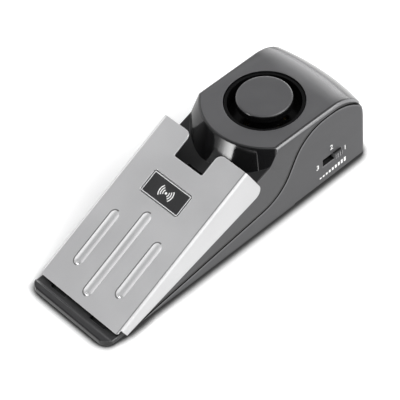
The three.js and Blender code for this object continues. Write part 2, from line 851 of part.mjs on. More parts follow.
function screwWay(place, side) {
  const x = side * place.across;
  const pocket = upright(x, place.along, screw.pocketRadius, -overrun, place.seatUp);
  return pocket.add(upright(x, place.along, screw.holeRadius, 0, place.tubeUp + overrun, 16));
}

// Pressure plate, in its own frame

function plateSection() {
  const outer = halfWidth + clearance + plate.sheet;
  const radius = plate.foldRadius;
  const inner = radius - plate.sheet;
  const deep = -plate.flangeRearDepth - overrun;
  const side = outer - plate.sheet;
  const shape = new THREE.Shape();
  shape.moveTo(-outer, deep);
  shape.absarc(radius - outer, -radius, radius, Math.PI, Math.PI / 2, true);
  shape.absarc(outer - radius, -radius, radius, Math.PI / 2, 0, true);
  shape.lineTo(outer, deep);
  shape.lineTo(side, deep);
  shape.absarc(side - inner, -radius, inner, 0, Math.PI / 2);
  shape.absarc(inner - side, -radius, inner, Math.PI / 2, Math.PI);
  shape.lineTo(-side, deep);
  shape.closePath();
  return shape;
}

// The folded channel, pushed along the run
function plateChannel() {
  const geometry = new THREE.ExtrudeGeometry(plateSection(), {
    depth: plateLength,
    bevelEnabled: false,
    curveSegments: 5,
  });
  geometry.rotateX(Math.PI / 2);
  geometry.scale(1, -1, 1);
  return solidFrom(geometry);
}

function flangeOutline() {
  const { flangeStart, flangeFrontDepth, flangeRearDepth, flangeCornerRadius: radius } = plate;
  const length = plateLength;
  const slope = Math.atan2(flangeRearDepth - flangeFrontDepth, length - flangeStart);
  const tangent = radius * Math.tan((Math.PI / 2 + slope) / 2);
  const centre = [length - radius, -flangeRearDepth + tangent];
  const shape = new THREE.Shape();
  shape.moveTo(0, overrun);
  shape.lineTo(0, -plate.sheet - clearance);
  shape.lineTo(flangeStart, -plate.sheet - clearance);
  shape.lineTo(flangeStart, -flangeFrontDepth);
  shape.absarc(centre[0], centre[1], radius, -Math.PI / 2 - slope, 0);
  shape.lineTo(length, overrun);
  shape.closePath();
  return shape;
}

function platePlan() {
  const outer = halfWidth + clearance + plate.sheet;
  const front = outer - plate.cornerInset;
  const { flangeStart, cornerRadius, fingerRadius, notchCornerRadius, notchDepth } = plate;
  const length = plateLength;
  const notch = plate.notchWidth / 2;
  const quarter = Math.PI / 2;
  const shape = new THREE.Shape();
  shape.absarc(cornerRadius - front, cornerRadius, cornerRadius, 2 * quarter, 3 * quarter);
  shape.absarc(front - cornerRadius, cornerRadius, cornerRadius, 3 * quarter, 4 * quarter);
  shape.lineTo(front, flangeStart);
  shape.lineTo(outer + overrun, flangeStart);
  shape.lineTo(outer + overrun, length);
  shape.absarc(notch + fingerRadius, length - fingerRadius, fingerRadius, quarter, 2 * quarter);
  shape.absarc(notch - notchCornerRadius, length - notchDepth + notchCornerRadius, notchCornerRadius,
    0, -quarter, true);
  shape.absarc(notchCornerRadius - notch, length - notchDepth + notchCornerRadius, notchCornerRadius,
    -quarter, -2 * quarter, true);
  shape.absarc(-notch - fingerRadius, length - fingerRadius, fingerRadius, 0, quarter);
  shape.lineTo(-outer - overrun, length);
  shape.lineTo(-outer - overrun, flangeStart);
  shape.lineTo(-front, flangeStart);
  shape.closePath();
  return shape;
}

function stadium(across, start, end, halfRun, rise) {
  const ring = [];
  const steps = ribForm.endSteps;
  for (const [run, from] of [[end, 0], [start, Math.PI]]) {
    for (let i = 0; i <= steps; i += 1) {
      const angle = from + (Math.PI * i) / steps;
      ring.push(new THREE.Vector3(across + halfRun * Math.cos(angle), run + halfRun * Math.sin(angle), rise));
    }
  }
  return ring;
}

// A pressed rib: a long dome on the sheet, or the hollow under it when drop is the sheet's thickness
function ribDome([across, start, end], drop) {
  const half = rib.halfWidth - drop / 2;
  const rings = [stadium(across, start, end, half, drop > 0 ? -plate.sheet - clearance : -plate.sheet / 2)];
  ribForm.levelShares.forEach((level, i) => {
    rings.push(stadium(across, start, end, half * ribForm.widthShares[i], ribForm.height * level - drop));
  });
  return loft(rings);
}

function labelPlan(grow) {
  const [w, h] = [label.width / 2 + grow, label.run / 2 + grow];
  return roundedPlan(-w, w, labelMiddle - h, labelMiddle + h, label.cornerRadius + grow);
}

// The tongue cut from the notch and folded down through the deck, with a hook that stops the plate
function stopTongue() {
  const run = plateLength - plate.notchDepth;
  const edge = bodyToPlate(tongue.slotFront, deckUnderUp(tongue.slotFront));
  const hookTop = edge[1] - clearance;
  const { sheet } = plate;
  return pushAcross(outlineOf([
    [run - sheet, -sheet / 2],
    [run - sheet, hookTop],
    [run - sheet - tongue.hookReach, hookTop],
    [run - sheet - tongue.hookReach, hookTop - sheet],
    [run, hookTop - sheet],
    [run, -sheet / 2],
  ]), -tongue.width / 2, tongue.width / 2);
}

function hingeTab(side) {
  const middle = side * hinge.tabOffset;
  return pushAcross(outlineOf([
    [0, -plate.sheet / 2],
    [0, -hinge.tabDrop],
    [plate.sheet, -hinge.tabDrop],
    [plate.sheet, -plate.sheet / 2],
  ]), middle - hinge.tabWidth / 2, middle + hinge.tabWidth / 2);
}

function pressurePlate() {
  const outer = halfWidth + clearance + plate.sheet;
  let sheet = plateChannel().intersect(pushAcross(flangeOutline(), -outer - overrun, outer + overrun, 0, 5));
  sheet = sheet.intersect(raise(platePlan(), -plate.flangeRearDepth - overrun, overrun, 5));
  const ribs = [
    [-rib.outerOffset, rib.outerStart, rib.outerEnd],
    [0, rib.middleStart, rib.middleEnd],
    [rib.outerOffset, rib.outerStart, rib.outerEnd],
  ];
  for (const place of ribs) {
    sheet = sheet.add(ribDome(place, 0)).subtract(ribDome(place, plate.sheet));
  }
  const floor = -label.recess;
  sheet = sheet.add(raise(labelPlan(clearance + plate.sheet / 2), floor - plate.sheet, -plate.sheet / 2));
  sheet = sheet.subtract(raise(labelPlan(clearance), floor, overrun));
  sheet = sheet.add(stopTongue());
  return sheet.add(hingeTab(-1)).add(hingeTab(1));
}

function plateLabel() {
  const low = label.seat - label.recess;
  return raise(labelPlan(0), low, low + label.thickness);
}

// Trigger

// The nose meets the plate under the label's pressed recess
function plungerNoseUp(turned = 0) {
  return noseCentreUp(plunger.along, plunger.radius, plate.sheet + label.recess, turned);
}

// An inverted cup with a round nose and a flange under the deck
function triggerPlunger() {
  const { radius, wall, flangeRadius, flangeThickness, flangeTop } = plunger;
  const nose = plungerNoseUp();
  const profile = [
    [radius - wall, flangeTop - flangeThickness],
    [flangeRadius, flangeTop - flangeThickness],
    [flangeRadius, flangeTop],
    [radius, flangeTop],
  ];
  const steps = 5;
  for (let i = 0; i <= steps; i += 1) {
    const angle = (Math.PI / 2) * (i / steps);
    profile.push([radius * Math.cos(angle), nose + radius * Math.sin(angle)]);
  }
  profile[profile.length - 1][0] = 0;
  const ceiling = plungerCeilingUp();
  profile.push([0, ceiling], [radius - wall, ceiling], [radius - wall, flangeTop - flangeThickness]);
  return revolve(profile, 0, plunger.along, 24);
}

function plungerCeilingUp() {
  return plungerNoseUp() + plunger.radius - 2 * plunger.wall;
}

function tactBodyUp() {
  return boardTop + seatGap;
}

function tactSwitch() {
  const up = tactBodyUp();
  const half = tact.size / 2;
  const shell = box(-half, half, plunger.along - half, plunger.along + half, up, up + tact.height);
  return shell.subtract(upright(0, plunger.along, tact.wellRadius, up + tact.height - tact.wellDepth, skyUp, 20));
}

function tactSeatUp() {
  return tactBodyUp() + tact.height + clearance;
}

function tactButton() {
  const up = tactSeatUp();
  const low = tactBodyUp() + tact.height - tact.wellDepth + clearance;
  return revolve([
    [0, low],
    [tact.stemRadius, low],
    [tact.stemRadius, up],
    [tactSeat.radius, up],
    [tactSeat.radius, up + tactSeat.thickness],
    [tactSeat.pipRadius, up + tactSeat.thickness],
    [tactSeat.pipRadius, up + tactSeat.thickness + tactSeat.pipHeight],
    [0, up + tactSeat.thickness + tactSeat.pipHeight],
  ], 0, plunger.along, 20);
}

// The spring's ends: from the seat on the push switch to the plunger's ceiling
function springSpan() {
  const low = tactSeatUp() + tactSeat.thickness + seatGap + spring.wireRadius;
  return [low, plungerCeilingUp() - seatGap - spring.wireRadius];
}

function springPoint(turn, spread) {
  const [low, high] = springSpan();
  const angle = 2 * Math.PI * turn;
  return new THREE.Vector3(
    (spring.coilRadius + spread) * Math.cos(angle),
    plunger.along + (spring.coilRadius + spread) * Math.sin(angle),
    low + ((high - low) * turn) / spring.turns,
  );
}

function triggerSpring() {
  const rings = [];
  const steps = spring.turns * spring.stepsPerTurn;
  for (let i = 0; i <= steps; i += 1) {
    const turn = i / spring.stepsPerTurn;
    const centre = springPoint(turn, 0);
    const outward = springPoint(turn, spring.wireRadius).sub(centre).normalize();
    const ring = [];
    for (let k = 0; k < spring.sides; k += 1) {
      const angle = (2 * Math.PI * k) / spring.sides;
      const point = centre.clone().addScaledVector(outward, spring.wireRadius * Math.cos(angle));
      point.z += spring.wireRadius * Math.sin(angle);
      ring.push(point);
    }
    rings.push(ring);
  }
  const pitch = (springSpan()[1] - springSpan()[0]) / spring.turns;
  console.log('least gap between the curls of the spring, mm:', leastGap(rings).toFixed(3),
    'pitch', pitch.toFixed(3));
  return loft(rings);
}

// The least distance between points of the wire's skin that lie more than half a curl apart along it
function leastGap(rings) {
  let least = Infinity;
  const apart = spring.stepsPerTurn / 2;
  rings.forEach((ring, i) => {
    for (let j = i + apart; j < rings.length; j += 1) {
      for (const p of ring) {
        for (const q of rings[j]) {
          least = Math.min(least, p.distanceTo(q));
        }
      }
    }
  });
  return least;
}

function bumperPad(side) {
  const low = deckUp(bumper.along) - bumper.pocketDepth + seatGap;
  const nose = noseCentreUp(bumper.along, bumper.radius, plate.sheet, plate.travel);
  const profile = [[0, low], [bumper.radius, low], [bumper.radius, nose]];
  const steps = 4;
  for (let i = 1; i <= steps; i += 1) {
    const angle = (Math.PI / 2) * (i / steps);
    profile.push([i === steps ? 0 : bumper.radius * Math.cos(angle), nose + bumper.radius * Math.sin(angle)]);
  }
  return revolve(profile, side * bumper.offset, bumper.along, 16);
}

// Siren

function soundCup() {
  const outer = siren.openingRadius - clearance;
  const { wall, floorThickness, postRadius, rimWall, rimDepth, ledgeDepth } = cup;
  const floorUp = cupFloorUp;
  const rimInner = piezo.radius + clearance;
  const ledgeInner = rimInner - cup.ledgeInset;
  const floorTopUp = floorUp + floorThickness;
  let form = revolve([
    [0, floorUp + ledgeDepth],
    [ledgeInner, floorUp + ledgeDepth],
    [ledgeInner, floorUp],
    [rimInner, floorUp],
    [rimInner, floorUp - rimDepth],
    [rimInner + rimWall, floorUp - rimDepth],
    [rimInner + rimWall, floorUp],
    [outer, floorUp],
    [outer, headHeight - cup.lip],
    [outer - wall, headHeight - cup.lip],
    [outer - wall, floorTopUp],
    [postRadius, floorTopUp],
    [postRadius, capUnderUp() - seatGap],
    [0, capUnderUp() - seatGap],
  ], 0, siren.along, 40);
  for (let i = 0; i < cup.holeCount; i += 1) {
    const angle = (2 * Math.PI * i) / cup.holeCount;
    const [x, y] = [cup.holeRingRadius * Math.cos(angle), cup.holeRingRadius * Math.sin(angle)];
    form = form.subtract(upright(x, siren.along + y, cup.holeRadius, floorUp - rimDepth, floorTopUp + seatGap, 10));
  }
  return form;
}

function capTopUp() {
  return headHeight + siren.capRise;
}

function capUnderUp() {
  return capTopUp() - siren.capWall;
}

// The siren's cap: a shallow inverted dish with a rounded edge, standing on the cup's post
function sirenCap() {
  const { capRadius, capThickness, capWall, capEdge } = siren;
  const [low, top] = [capTopUp() - capThickness, capTopUp()];
  const profile = [[capRadius - capWall, low], [capRadius, low]];
  const steps = 3;
  for (let i = 0; i <= steps; i += 1) {
    const angle = (Math.PI / 2) * (i / steps);
    profile.push([capRadius - capEdge + capEdge * Math.cos(angle), top - capEdge + capEdge * Math.sin(angle)]);
  }
  profile.push([0, top], [0, capUnderUp()], [capRadius - capWall, capUnderUp()], [capRadius - capWall, low]);
  return revolve(profile, 0, siren.along, 40);
}

function piezoDisc() {
  const top = cupFloorUp - seatGap;
  return upright(0, siren.along, piezo.radius, top - piezo.thickness, top, 40);
}

function piezoCeramic() {
  const top = cupFloorUp - 2 * seatGap - piezo.thickness;
  return upright(0, siren.along, piezo.ceramicRadius, top - piezo.ceramicThickness, top, 32);
}

function piezoRetainer() {
  const top = cupFloorUp - 2 * seatGap - piezo.thickness;
  const ring = upright(0, siren.along, piezo.radius, top - piezo.ringThickness, top, 40);
  return ring.subtract(upright(0, siren.along, piezo.radius - piezo.ringWidth, 0, skyUp, 40));
}

// Battery, its snap, foam and door

function nineVoltCell() {
  const { width, length, height, frontAlong, edgeRadius } = battery;
  const section = roundedPlan(-width / 2, width / 2, batteryUp, batteryUp + height, edgeRadius);
  let cell = pushAlong(section, frontAlong, frontAlong + length);
  const middleUp = batteryUp + height / 2;
  cell = cell.add(studAlong(-battery.studOffset, middleUp, battery.socketRadius, battery.studHeight, 6));
  return cell.add(studAlong(battery.studOffset, middleUp, battery.studRadius, battery.studHeight, 20));
}

// An outline in the X and Z plane pushed along Y
function pushAlong(shape, y0, y1, curveSegments = 4) {
  const geometry = new THREE.ExtrudeGeometry(shape, { depth: y1 - y0, bevelEnabled: false, curveSegments });
  geometry.rotateX(Math.PI / 2);
  geometry.translate(0, y1, 0);
  return solidFrom(geometry);
}

function studAlong(x, z, radius, height, sides) {
  const geometry = new THREE.CylinderGeometry(radius, radius, height + seatGap, sides);
  geometry.translate(x, battery.frontAlong - height / 2 + seatGap / 2, z);
  return solidFrom(geometry);
}

function batterySnap() {
  const middleUp = batteryUp + battery.height / 2;
  const rear = battery.frontAlong - clearance - seatGap;
  const half = battery.width / 2 - snap.sideInset;
  const plan = roundedPlan(-half, half, middleUp - snap.height / 2, middleUp + snap.height / 2, snap.edgeRadius);
  let form = pushAlong(plan, rear - snap.thickness, rear);
  for (const [x, radius] of [[-battery.studOffset, battery.socketRadius], [battery.studOffset, battery.studRadius]]) {
    const geometry = new THREE.CylinderGeometry(radius + clearance, radius + clearance, 2 * snap.wellDepth, 20);
    geometry.translate(x, rear, middleUp);
    form = form.subtract(solidFrom(geometry));
  }
  return form;
}

function batteryFoam() {
  const front = battery.frontAlong + battery.length + seatGap;
  const half = bay.foamWidth / 2;
  return box(-half, half, front, front + bay.foamThickness, batteryUp + bay.foamInset,
    batteryUp + battery.height - bay.foamInset);
}

function batteryDoor() {
  const bodyHalf = bayHalfWidth;
  const tongueHalf = bayHalfWidth + door.tongueReach;
  const [low, top] = [body.footHeight, floorTop];
  const neck = top - door.tongueThickness;
  let form = pushAlong(outlineOf([
    [-bodyHalf, low],
    [bodyHalf, low],
    [bodyHalf, neck],
    [tongueHalf, neck],
    [tongueHalf, top],
    [-tongueHalf, top],
    [-tongueHalf, neck],
    [-bodyHalf, neck],
  ]), door.frontAlong, bodyLength + door.rearReach);
  for (let i = 0; i < door.gripCount; i += 1) {
    const rear = bodyLength - door.gripRear - i * door.gripPitch;
    form = form.subtract(box(-door.gripWidth / 2, door.gripWidth / 2, rear - door.gripRun, rear, -overrun,
      low + door.gripDepth));
  }
  return form;
}

// Board and its pieces

function mainBoard() {
  let form = box(-board.halfWidth, board.halfWidth, board.frontAlong, board.rearAlong, board.up, boardTop);
  for (const [x, y] of boardScrewPlaces()) {
    form = form.subtract(upright(x, y, boardScrew.shankRadius + clearance, 0, skyUp, 12));
  }
  return form;
}

function boardScrewAt([x, y]) {
  const seat = boardTop + seatGap;
  return revolve([
    [0, seat - boardScrew.length],
    [boardScrew.shankRadius, seat - boardScrew.length],
    [boardScrew.shankRadius, seat],
    [boardScrew.headRadius, seat],
    [boardScrew.headRadius, seat + boardScrew.headHeight],
    [0, seat + boardScrew.headHeight],
  ], x, y, 16);
}

function alarmChip() {
  const low = boardTop + seatGap;
  const { across, along, width, length, height, legWidth, legThickness, notch } = chip;
  let form = box(across - width / 2, across + width / 2, along - length / 2, along + length / 2, low, low + height);
  form = form.subtract(upright(across, along + length / 2, notch, low + height / 2, skyUp, 12));
  const legs = 4;
  for (let i = 0; i < legs; i += 1) {
    const y = along - length / 2 + (length * (i + 1 / 2)) / legs;
    form = form.add(box(across - legWidth / 2, across + legWidth / 2, y - legThickness / 2, y + legThickness / 2,
      low, low + height / 2));
  }
  return form;
}

function boostCoil() {
  const low = boardTop + seatGap;
  const { flangeRadius, windRadius, flangeHeight, height } = coil;
  return revolve([
    [0, low],
    [flangeRadius, low],
    [flangeRadius, low + flangeHeight],
    [windRadius, low + flangeHeight],
    [windRadius, low + height - flangeHeight],
    [flangeRadius, low + height - flangeHeight],
    [flangeRadius, low + height],
    [0, low + height],
  ], coil.across, coil.along, 24);
}

function canCapacitor() {
  const low = boardTop + seatGap;
  const { radius, height, groove, grooveUp, grooveRun } = capacitor;
  return revolve([
    [0, low],
    [radius, low],
    [radius, low + grooveUp],
    [radius - groove, low + grooveUp + grooveRun / 2],
    [radius, low + grooveUp + grooveRun],
    [radius, low + height],
    [0, low + height],
  ], capacitor.across, capacitor.along, 24);
}

function smallTransistor() {
  const low = boardTop + seatGap;
  const { across, along, radius, flat, height, standOff } = transistor;
  const round = upright(across, along, radius, low + standOff, low + standOff + height, 20);
  const cut = box(across - radius, across + radius, along + flat, along + radius + seatGap, 0, skyUp);
  const legHalf = radius / 2;
  const legs = box(across - legHalf, across + legHalf, along - seatGap, along + seatGap, low, low + 2 * standOff);
  return round.subtract(cut).add(legs);
}

// A can lying on the board with a loose coil inside, which rattles shut when the door is shaken
function vibrationSensor() {
  const { across, along, radius, length, capLength, capInset } = sensor;
  const geometry = new THREE.LatheGeometry([
    [0, 0],
    [radius - capInset, 0],
    [radius - capInset, capLength],
    [radius, capLength],
    [radius, length],
    [0, length],
  ].map(([r, h]) => new THREE.Vector2(r, h)), 20);
  geometry.translate(across, along - length / 2, boardTop + seatGap + radius);
  return solidFrom(geometry);
}

function smallResistor(i) {
  const { radius, waist, length, capLength } = resistor;
  const geometry = new THREE.LatheGeometry([
    [0, 0],
    [radius, 0],
    [radius, capLength],
    [waist, capLength + radius - waist],
    [waist, length - capLength - radius + waist],
    [radius, length - capLength],
    [radius, length],
    [0, length],
  ].map(([r, h]) => new THREE.Vector2(r, h)), 12);
  geometry.translate(resistor.across + i * resistor.pitch, resistor.along, boardTop + seatGap + radius);
  return solidFrom(geometry);
}

// Slide switches

function switchCase(side) {
  const outer = innerHalfWidth - clearance;
  const [low, high] = sorted(side, outer - slider.caseDepth, outer);
  const half = slider.caseHeight / 2;
  const length = slider.caseLength / 2;
  const [mid, up] = [switchMiddle(), slider.slotUp];
  const shell = box(low, high, mid - length, mid + length, up - half, up + half);
  const [windowLow, windowHigh] = sorted(side, outer - slider.windowDepth, outer + overrun);
  const windowHalf = slider.knobHeight / 2 + clearance;
  return shell.subtract(box(windowLow, windowHigh, slotRearAlong - slider.slotLength, slotRearAlong,
    up - windowHalf, up + windowHalf));
}

// The thumb piece, at rest at the rear end of its slot, with ridges across its face
function switchKnob(side) {
  const inner = innerHalfWidth - clearance - slider.windowDepth + clearance;
  const outer = halfWidth + slider.knobReach;
  const rear = slotRearAlong - clearance;
  const front = rear - slider.knobLength;
  const [low, high] = sorted(side, inner, outer);
  const half = slider.knobHeight / 2;
  let form = box(low, high, front, rear, slider.slotUp - half, slider.slotUp + half);
  const pitch = slider.knobLength / slider.ridgeCount;
  for (let i = 0; i < slider.ridgeCount; i += 1) {
    const middle = front + pitch * (i + 1 / 2);
    const [cutLow, cutHigh] = sorted(side, outer - slider.ridgeDepth, outer + overrun);
    form = form.subtract(box(cutLow, cutHigh, middle - slider.ridgeRun / 2, middle + slider.ridgeRun / 2,
      0, skyUp));
  }
  return form;
}

// Fasteners and pads

function housingScrew(place, side) {
  const seat = place.seatUp - seatGap;
  return revolve([
    [0, seat - screw.headHeight],
    [screw.headRadius, seat - screw.headHeight],
    [screw.headRadius, seat],
    [screw.shankRadius, seat],
    [screw.shankRadius, seat + place.length],
    [0, seat + place.length],
  ], side * place.across, place.along, 16);
}

function frontPadStrip() {
  const plan = roundedPlan(-frontPad.halfWidth, frontPad.halfWidth, frontPad.frontAlong,
    frontPad.frontAlong + frontPad.run, clearance);
  return raise(plan, 0, body.footHeight + frontPad.pocket - seatGap, 2);
}

function rearPadStrip(side) {
  const [low, high] = sorted(side, rearPad.inner, rearPad.outer);
  const plan = roundedPlan(low, high, rearPad.frontAlong, rearPad.frontAlong + rearPad.run, clearance);
  return raise(plan, 0, body.footHeight + rearPad.pocket - seatGap, 2);
}

// Wires, whose routes are chosen by hand between their two ends

function batteryLeadRoute(side) {
  return [
    [side * 6, 83.5, 9.2],
    [side * 6.4, 81.8, 9.1],
    [side * 8.2, 80.2, 9.6],
    [side * 9.4, 78.6, 10],
    [side * 9.8, 76.9, 9.4],
    [side * 9.8, 76.3, 8],
  ];
}

function piezoLeadRoute(side) {
  return [
    [side * 3, 104, 27.6],
    [side * 3.4, 100, 25.4],
    [side * 5, 94, 23.4],
    [side * 6.6, 87, 22.4],
    [side * 7.6, 81.4, 20.4],
    [side * 7.6, 77.6, 16.2],
    [side * 7.2, 75.4, 11.4],
    [side * 7, 75, 8],
  ];
}

// The ribbon's way from the board's rear edge, share 0, to the switch's case, share 1
function ribbonRoute(side) {
  const near = board.rearAlong + seatGap;
  const far = switchMiddle() - slider.caseLength / 2 - ribbon.endGap;
  const across = halfWidth - sideInset.ribbon;
  return [
    [0, across, 13.2, 1],
    [0, across, 13, 0.878],
    [-0.2, across, 11.6, 0.657],
    [-0.4, across, 9.2, 0.381],
    [-0.6, across, 8.6, 0.177],
    [-1.6, across, 8.8, 0.066],
    [-2.8, across, 8.6, 0],
  ].map(([inward, x, up, share]) => [side * (x + inward), near + share * (far - near), up]);
}

function leadAlong(route) {
  const points = [];
  for (let i = 0; i < lead.sides; i += 1) {
    const angle = (2 * Math.PI * i) / lead.sides;
    points.push([lead.radius * Math.cos(angle), lead.radius * Math.sin(angle)]);
  }
  return sweep(route, outlineOf(points), 2 * lead.radius * lead.stepShare);
}

// The right half of a flat ribbon's section: round wires side by side, each joined to the next
function ribbonHalf(wires) {
  const { radius, joinShare } = ribbon;
  const join = Math.asin(joinShare);
  const half = [];
  for (let i = 0; i < wires; i += 1) {
    const middle = (i - (wires - 1) / 2) * 2 * radius * joinShare;
    const from = i === 0 ? -Math.PI / 2 : -join;
    const to = i === wires - 1 ? Math.PI / 2 : join;
    for (const angle of [from, 0, to]) {
      half.push([radius * Math.cos(angle), middle + radius * Math.sin(angle)]);
    }
  }
  return half;
}

function ribbonAlong(route, wires) {
  const right = ribbonHalf(wires);
  const left = right.map(([a, b]) => [-a, -b]);
  return sweep(route, outlineOf([...right, ...left]), 2 * ribbon.radius * ribbon.stepShare);
}

// Materials

function finish(colour, roughness, metalness = 0) {
  return new THREE.MeshStandardMaterial({ color: new THREE.Color(colour), roughness, metalness });
}

const finishes = {
  housing: finish('#646466', 0.4),
  steel: finish('#b5b5b6', 0.35, 0.8),
  label: finish('#3e3e40', 0.5),
  gloss: finish('#0c0c0d', 0.15),
  cap: finish('#5c5c5e', 0.3),
  knob: finish('#55565a', 0.5),
  rubber: finish('#1d1d1e', 0.9),
  brass: finish('#b8964e', 0.35, 0.9),
  ceramic: finish('#d9d5c8', 0.6),
  cell: finish('#2b2e33', 0.35, 0.3),
  board: finish('#1f5c34', 0.5),
  chipBlack: finish('#17181a', 0.45),
  copper: finish('#a2582b', 0.35, 0.7),
  can: finish('#1f2a4d', 0.3),
  tin: finish('#c4c6c8', 0.3, 0.9),
  beige: finish('#c9b48a', 0.6),
  zinc: finish('#9c9ea1', 0.35, 0.9),
  foam: finish('#3a3a3c', 0.95),
  redWire: finish('#b3201f', 0.5),
  blackWire: finish('#151516', 0.5),
  greyWire: finish('#8a8b8d', 0.5),
};

// The assembled alarm

const alarm = new THREE.Group();
const plateGroup = new THREE.Group();
plateGroup.position.set(0, plate.frontAlong, plate.frontUp);
plateGroup.rotation.x = plateAngle;
alarm.add(plateGroup);

function place(name, solid, material, group = alarm) {
  const mesh = new THREE.Mesh(geometryFrom(solid), material);
  mesh.name = name;
  group.add(mesh);
}

place('top_housing', topHousing(), finishes.housing);
place('base_housing', baseHousing(), finishes.housing);
place('pressure_plate', pressurePlate(), finishes.steel, plateGroup);
place('plate_label', plateLabel(), finishes.label, plateGroup);
place('siren_cap', sirenCap(), finishes.cap);
place('sound_cup', soundCup(), finishes.gloss);
place('piezo_disc', piezoDisc(), finishes.brass);
place('piezo_ceramic', piezoCeramic(), finishes.ceramic);
place('piezo_retainer', piezoRetainer(), finishes.gloss);
place('trigger_plunger', triggerPlunger(), finishes.gloss);
place('trigger_spring', triggerSpring(), finishes.zinc);
place('tact_switch', tactSwitch(), finishes.chipBlack);
place('tact_button', tactButton(), finishes.chipBlack);
place('main_board', mainBoard(), finishes.board);
place('alarm_chip', alarmChip(), finishes.chipBlack);
place('boost_coil', boostCoil(), finishes.copper);
place('capacitor', canCapacitor(), finishes.can);
place('transistor', smallTransistor(), finishes.chipBlack);
place('vibration_sensor', vibrationSensor(), finishes.tin);
for (let i = 0; i < resistor.count; i += 1) {
  place(`resistor_${i + 1}`, smallResistor(i), finishes.beige);
}
boardScrewPlaces().forEach((spot, i) => place(`board_screw_${i + 1}`, boardScrewAt(spot), finishes.zinc));
place('battery', nineVoltCell(), finishes.cell);
place('battery_snap', batterySnap(), finishes.blackWire);
place('battery_foam', batteryFoam(), finishes.foam);
place('battery_door', batteryDoor(), finishes.housing);
place('battery_lead_red', leadAlong(batteryLeadRoute(1)), finishes.redWire);
place('battery_lead_black', leadAlong(batteryLeadRoute(-1)), finishes.blackWire);
place('piezo_lead_red', leadAlong(piezoLeadRoute(1)), finishes.redWire);
place('piezo_lead_black', leadAlong(piezoLeadRoute(-1)), finishes.blackWire);
place('sensitivity_switch', switchCase(1), finishes.tin);
place('sensitivity_knob', switchKnob(1), finishes.knob);
place('sensitivity_ribbon', ribbonAlong(ribbonRoute(1), 3), finishes.greyWire);
place('power_switch', switchCase(-1), finishes.tin);
place('power_knob', switchKnob(-1), finishes.knob);
place('power_ribbon', ribbonAlong(ribbonRoute(-1), 2), finishes.greyWire);
let screwNumber = 1;
for (const spot of [frontScrew, rearScrew]) {
  for (const side of [-1, 1]) {
    place(`housing_screw_${screwNumber}`, housingScrew(spot, side), finishes.zinc);
    screwNumber += 1;
  }
}
place('bumper_left', bumperPad(-1), finishes.rubber);
place('bumper_right', bumperPad(1), finishes.rubber);
place('front_pad', frontPadStrip(), finishes.rubber);
place('rear_pad_left', rearPadStrip(-1), finishes.rubber);
place('rear_pad_right', rearPadStrip(1), finishes.rubber);

alarm.position.y = -middleAlong;

const stroke = plungerNoseUp() - plungerNoseUp(plate.travel);
console.log('hinge at', (hinge.along - middleAlong).toFixed(3), hinge.up,
  'plunger stroke', stroke.toFixed(3), 'per radian', (stroke / plate.travel).toFixed(3),
  'spring from', springSpan().map((z) => z.toFixed(3)).join(' to '));

export default alarm;
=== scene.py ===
import math

import bmesh
import bpy
from mathutils import Matrix, Vector


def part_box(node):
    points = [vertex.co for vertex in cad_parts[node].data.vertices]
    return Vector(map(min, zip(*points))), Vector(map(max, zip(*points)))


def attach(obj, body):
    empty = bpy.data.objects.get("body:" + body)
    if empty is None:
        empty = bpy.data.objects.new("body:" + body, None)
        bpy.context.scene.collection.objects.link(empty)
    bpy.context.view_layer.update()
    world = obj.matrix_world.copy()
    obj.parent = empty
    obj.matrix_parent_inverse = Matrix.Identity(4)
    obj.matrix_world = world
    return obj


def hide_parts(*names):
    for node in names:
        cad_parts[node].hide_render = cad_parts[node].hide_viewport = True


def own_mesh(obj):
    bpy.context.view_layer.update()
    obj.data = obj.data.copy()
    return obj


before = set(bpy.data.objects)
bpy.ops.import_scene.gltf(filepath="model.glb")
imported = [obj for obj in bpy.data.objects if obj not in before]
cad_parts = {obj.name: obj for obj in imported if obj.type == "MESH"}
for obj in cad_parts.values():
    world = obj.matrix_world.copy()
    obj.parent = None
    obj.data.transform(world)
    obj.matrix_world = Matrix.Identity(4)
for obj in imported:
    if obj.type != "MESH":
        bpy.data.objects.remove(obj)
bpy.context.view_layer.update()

# Camera
# It looks down over the alarm's right cheek, as the photograph was taken, through a long lens.
# Its place comes from a fit to the object's corners in a picture of 400 by 400.
azimuth, elevation, roll = math.radians(50.31), math.radians(48.08), math.radians(-4.98)
toward_camera = Vector((
    math.sin(azimuth) * math.cos(elevation), -math.cos(azimuth) * math.cos(elevation), math.sin(elevation)))
level_right = Vector((math.cos(azimuth), math.sin(azimuth), 0))
level_up = toward_camera.cross(level_right)
picture_right = level_right * math.cos(roll) + level_up * math.sin(roll)
picture_up = level_up * math.cos(roll) - level_right * math.sin(roll)
aim, distance, shift_right, shift_up = Vector((0, -0.04356, 0.01533)), 0.85636, 0.03101, 0.02003
camera_place = aim + toward_camera * distance + picture_right * shift_right + picture_up * shift_up
camera = bpy.data.objects.new("camera", bpy.data.cameras.new("camera"))
bpy.context.scene.collection.objects.link(camera)
turn = Matrix((picture_right, picture_up, toward_camera)).transposed()
camera.matrix_world = Matrix.Translation(camera_place) @ turn.to_4x4()
sensor, picture_width, focal_pixels = 36, 400, 2232.81
camera.data.sensor_width = sensor
camera.data.lens = sensor * focal_pixels / picture_width
camera.data.clip_start = 0.01
bpy.context.scene.camera = camera
bpy.context.scene.view_settings.view_transform = "Standard"


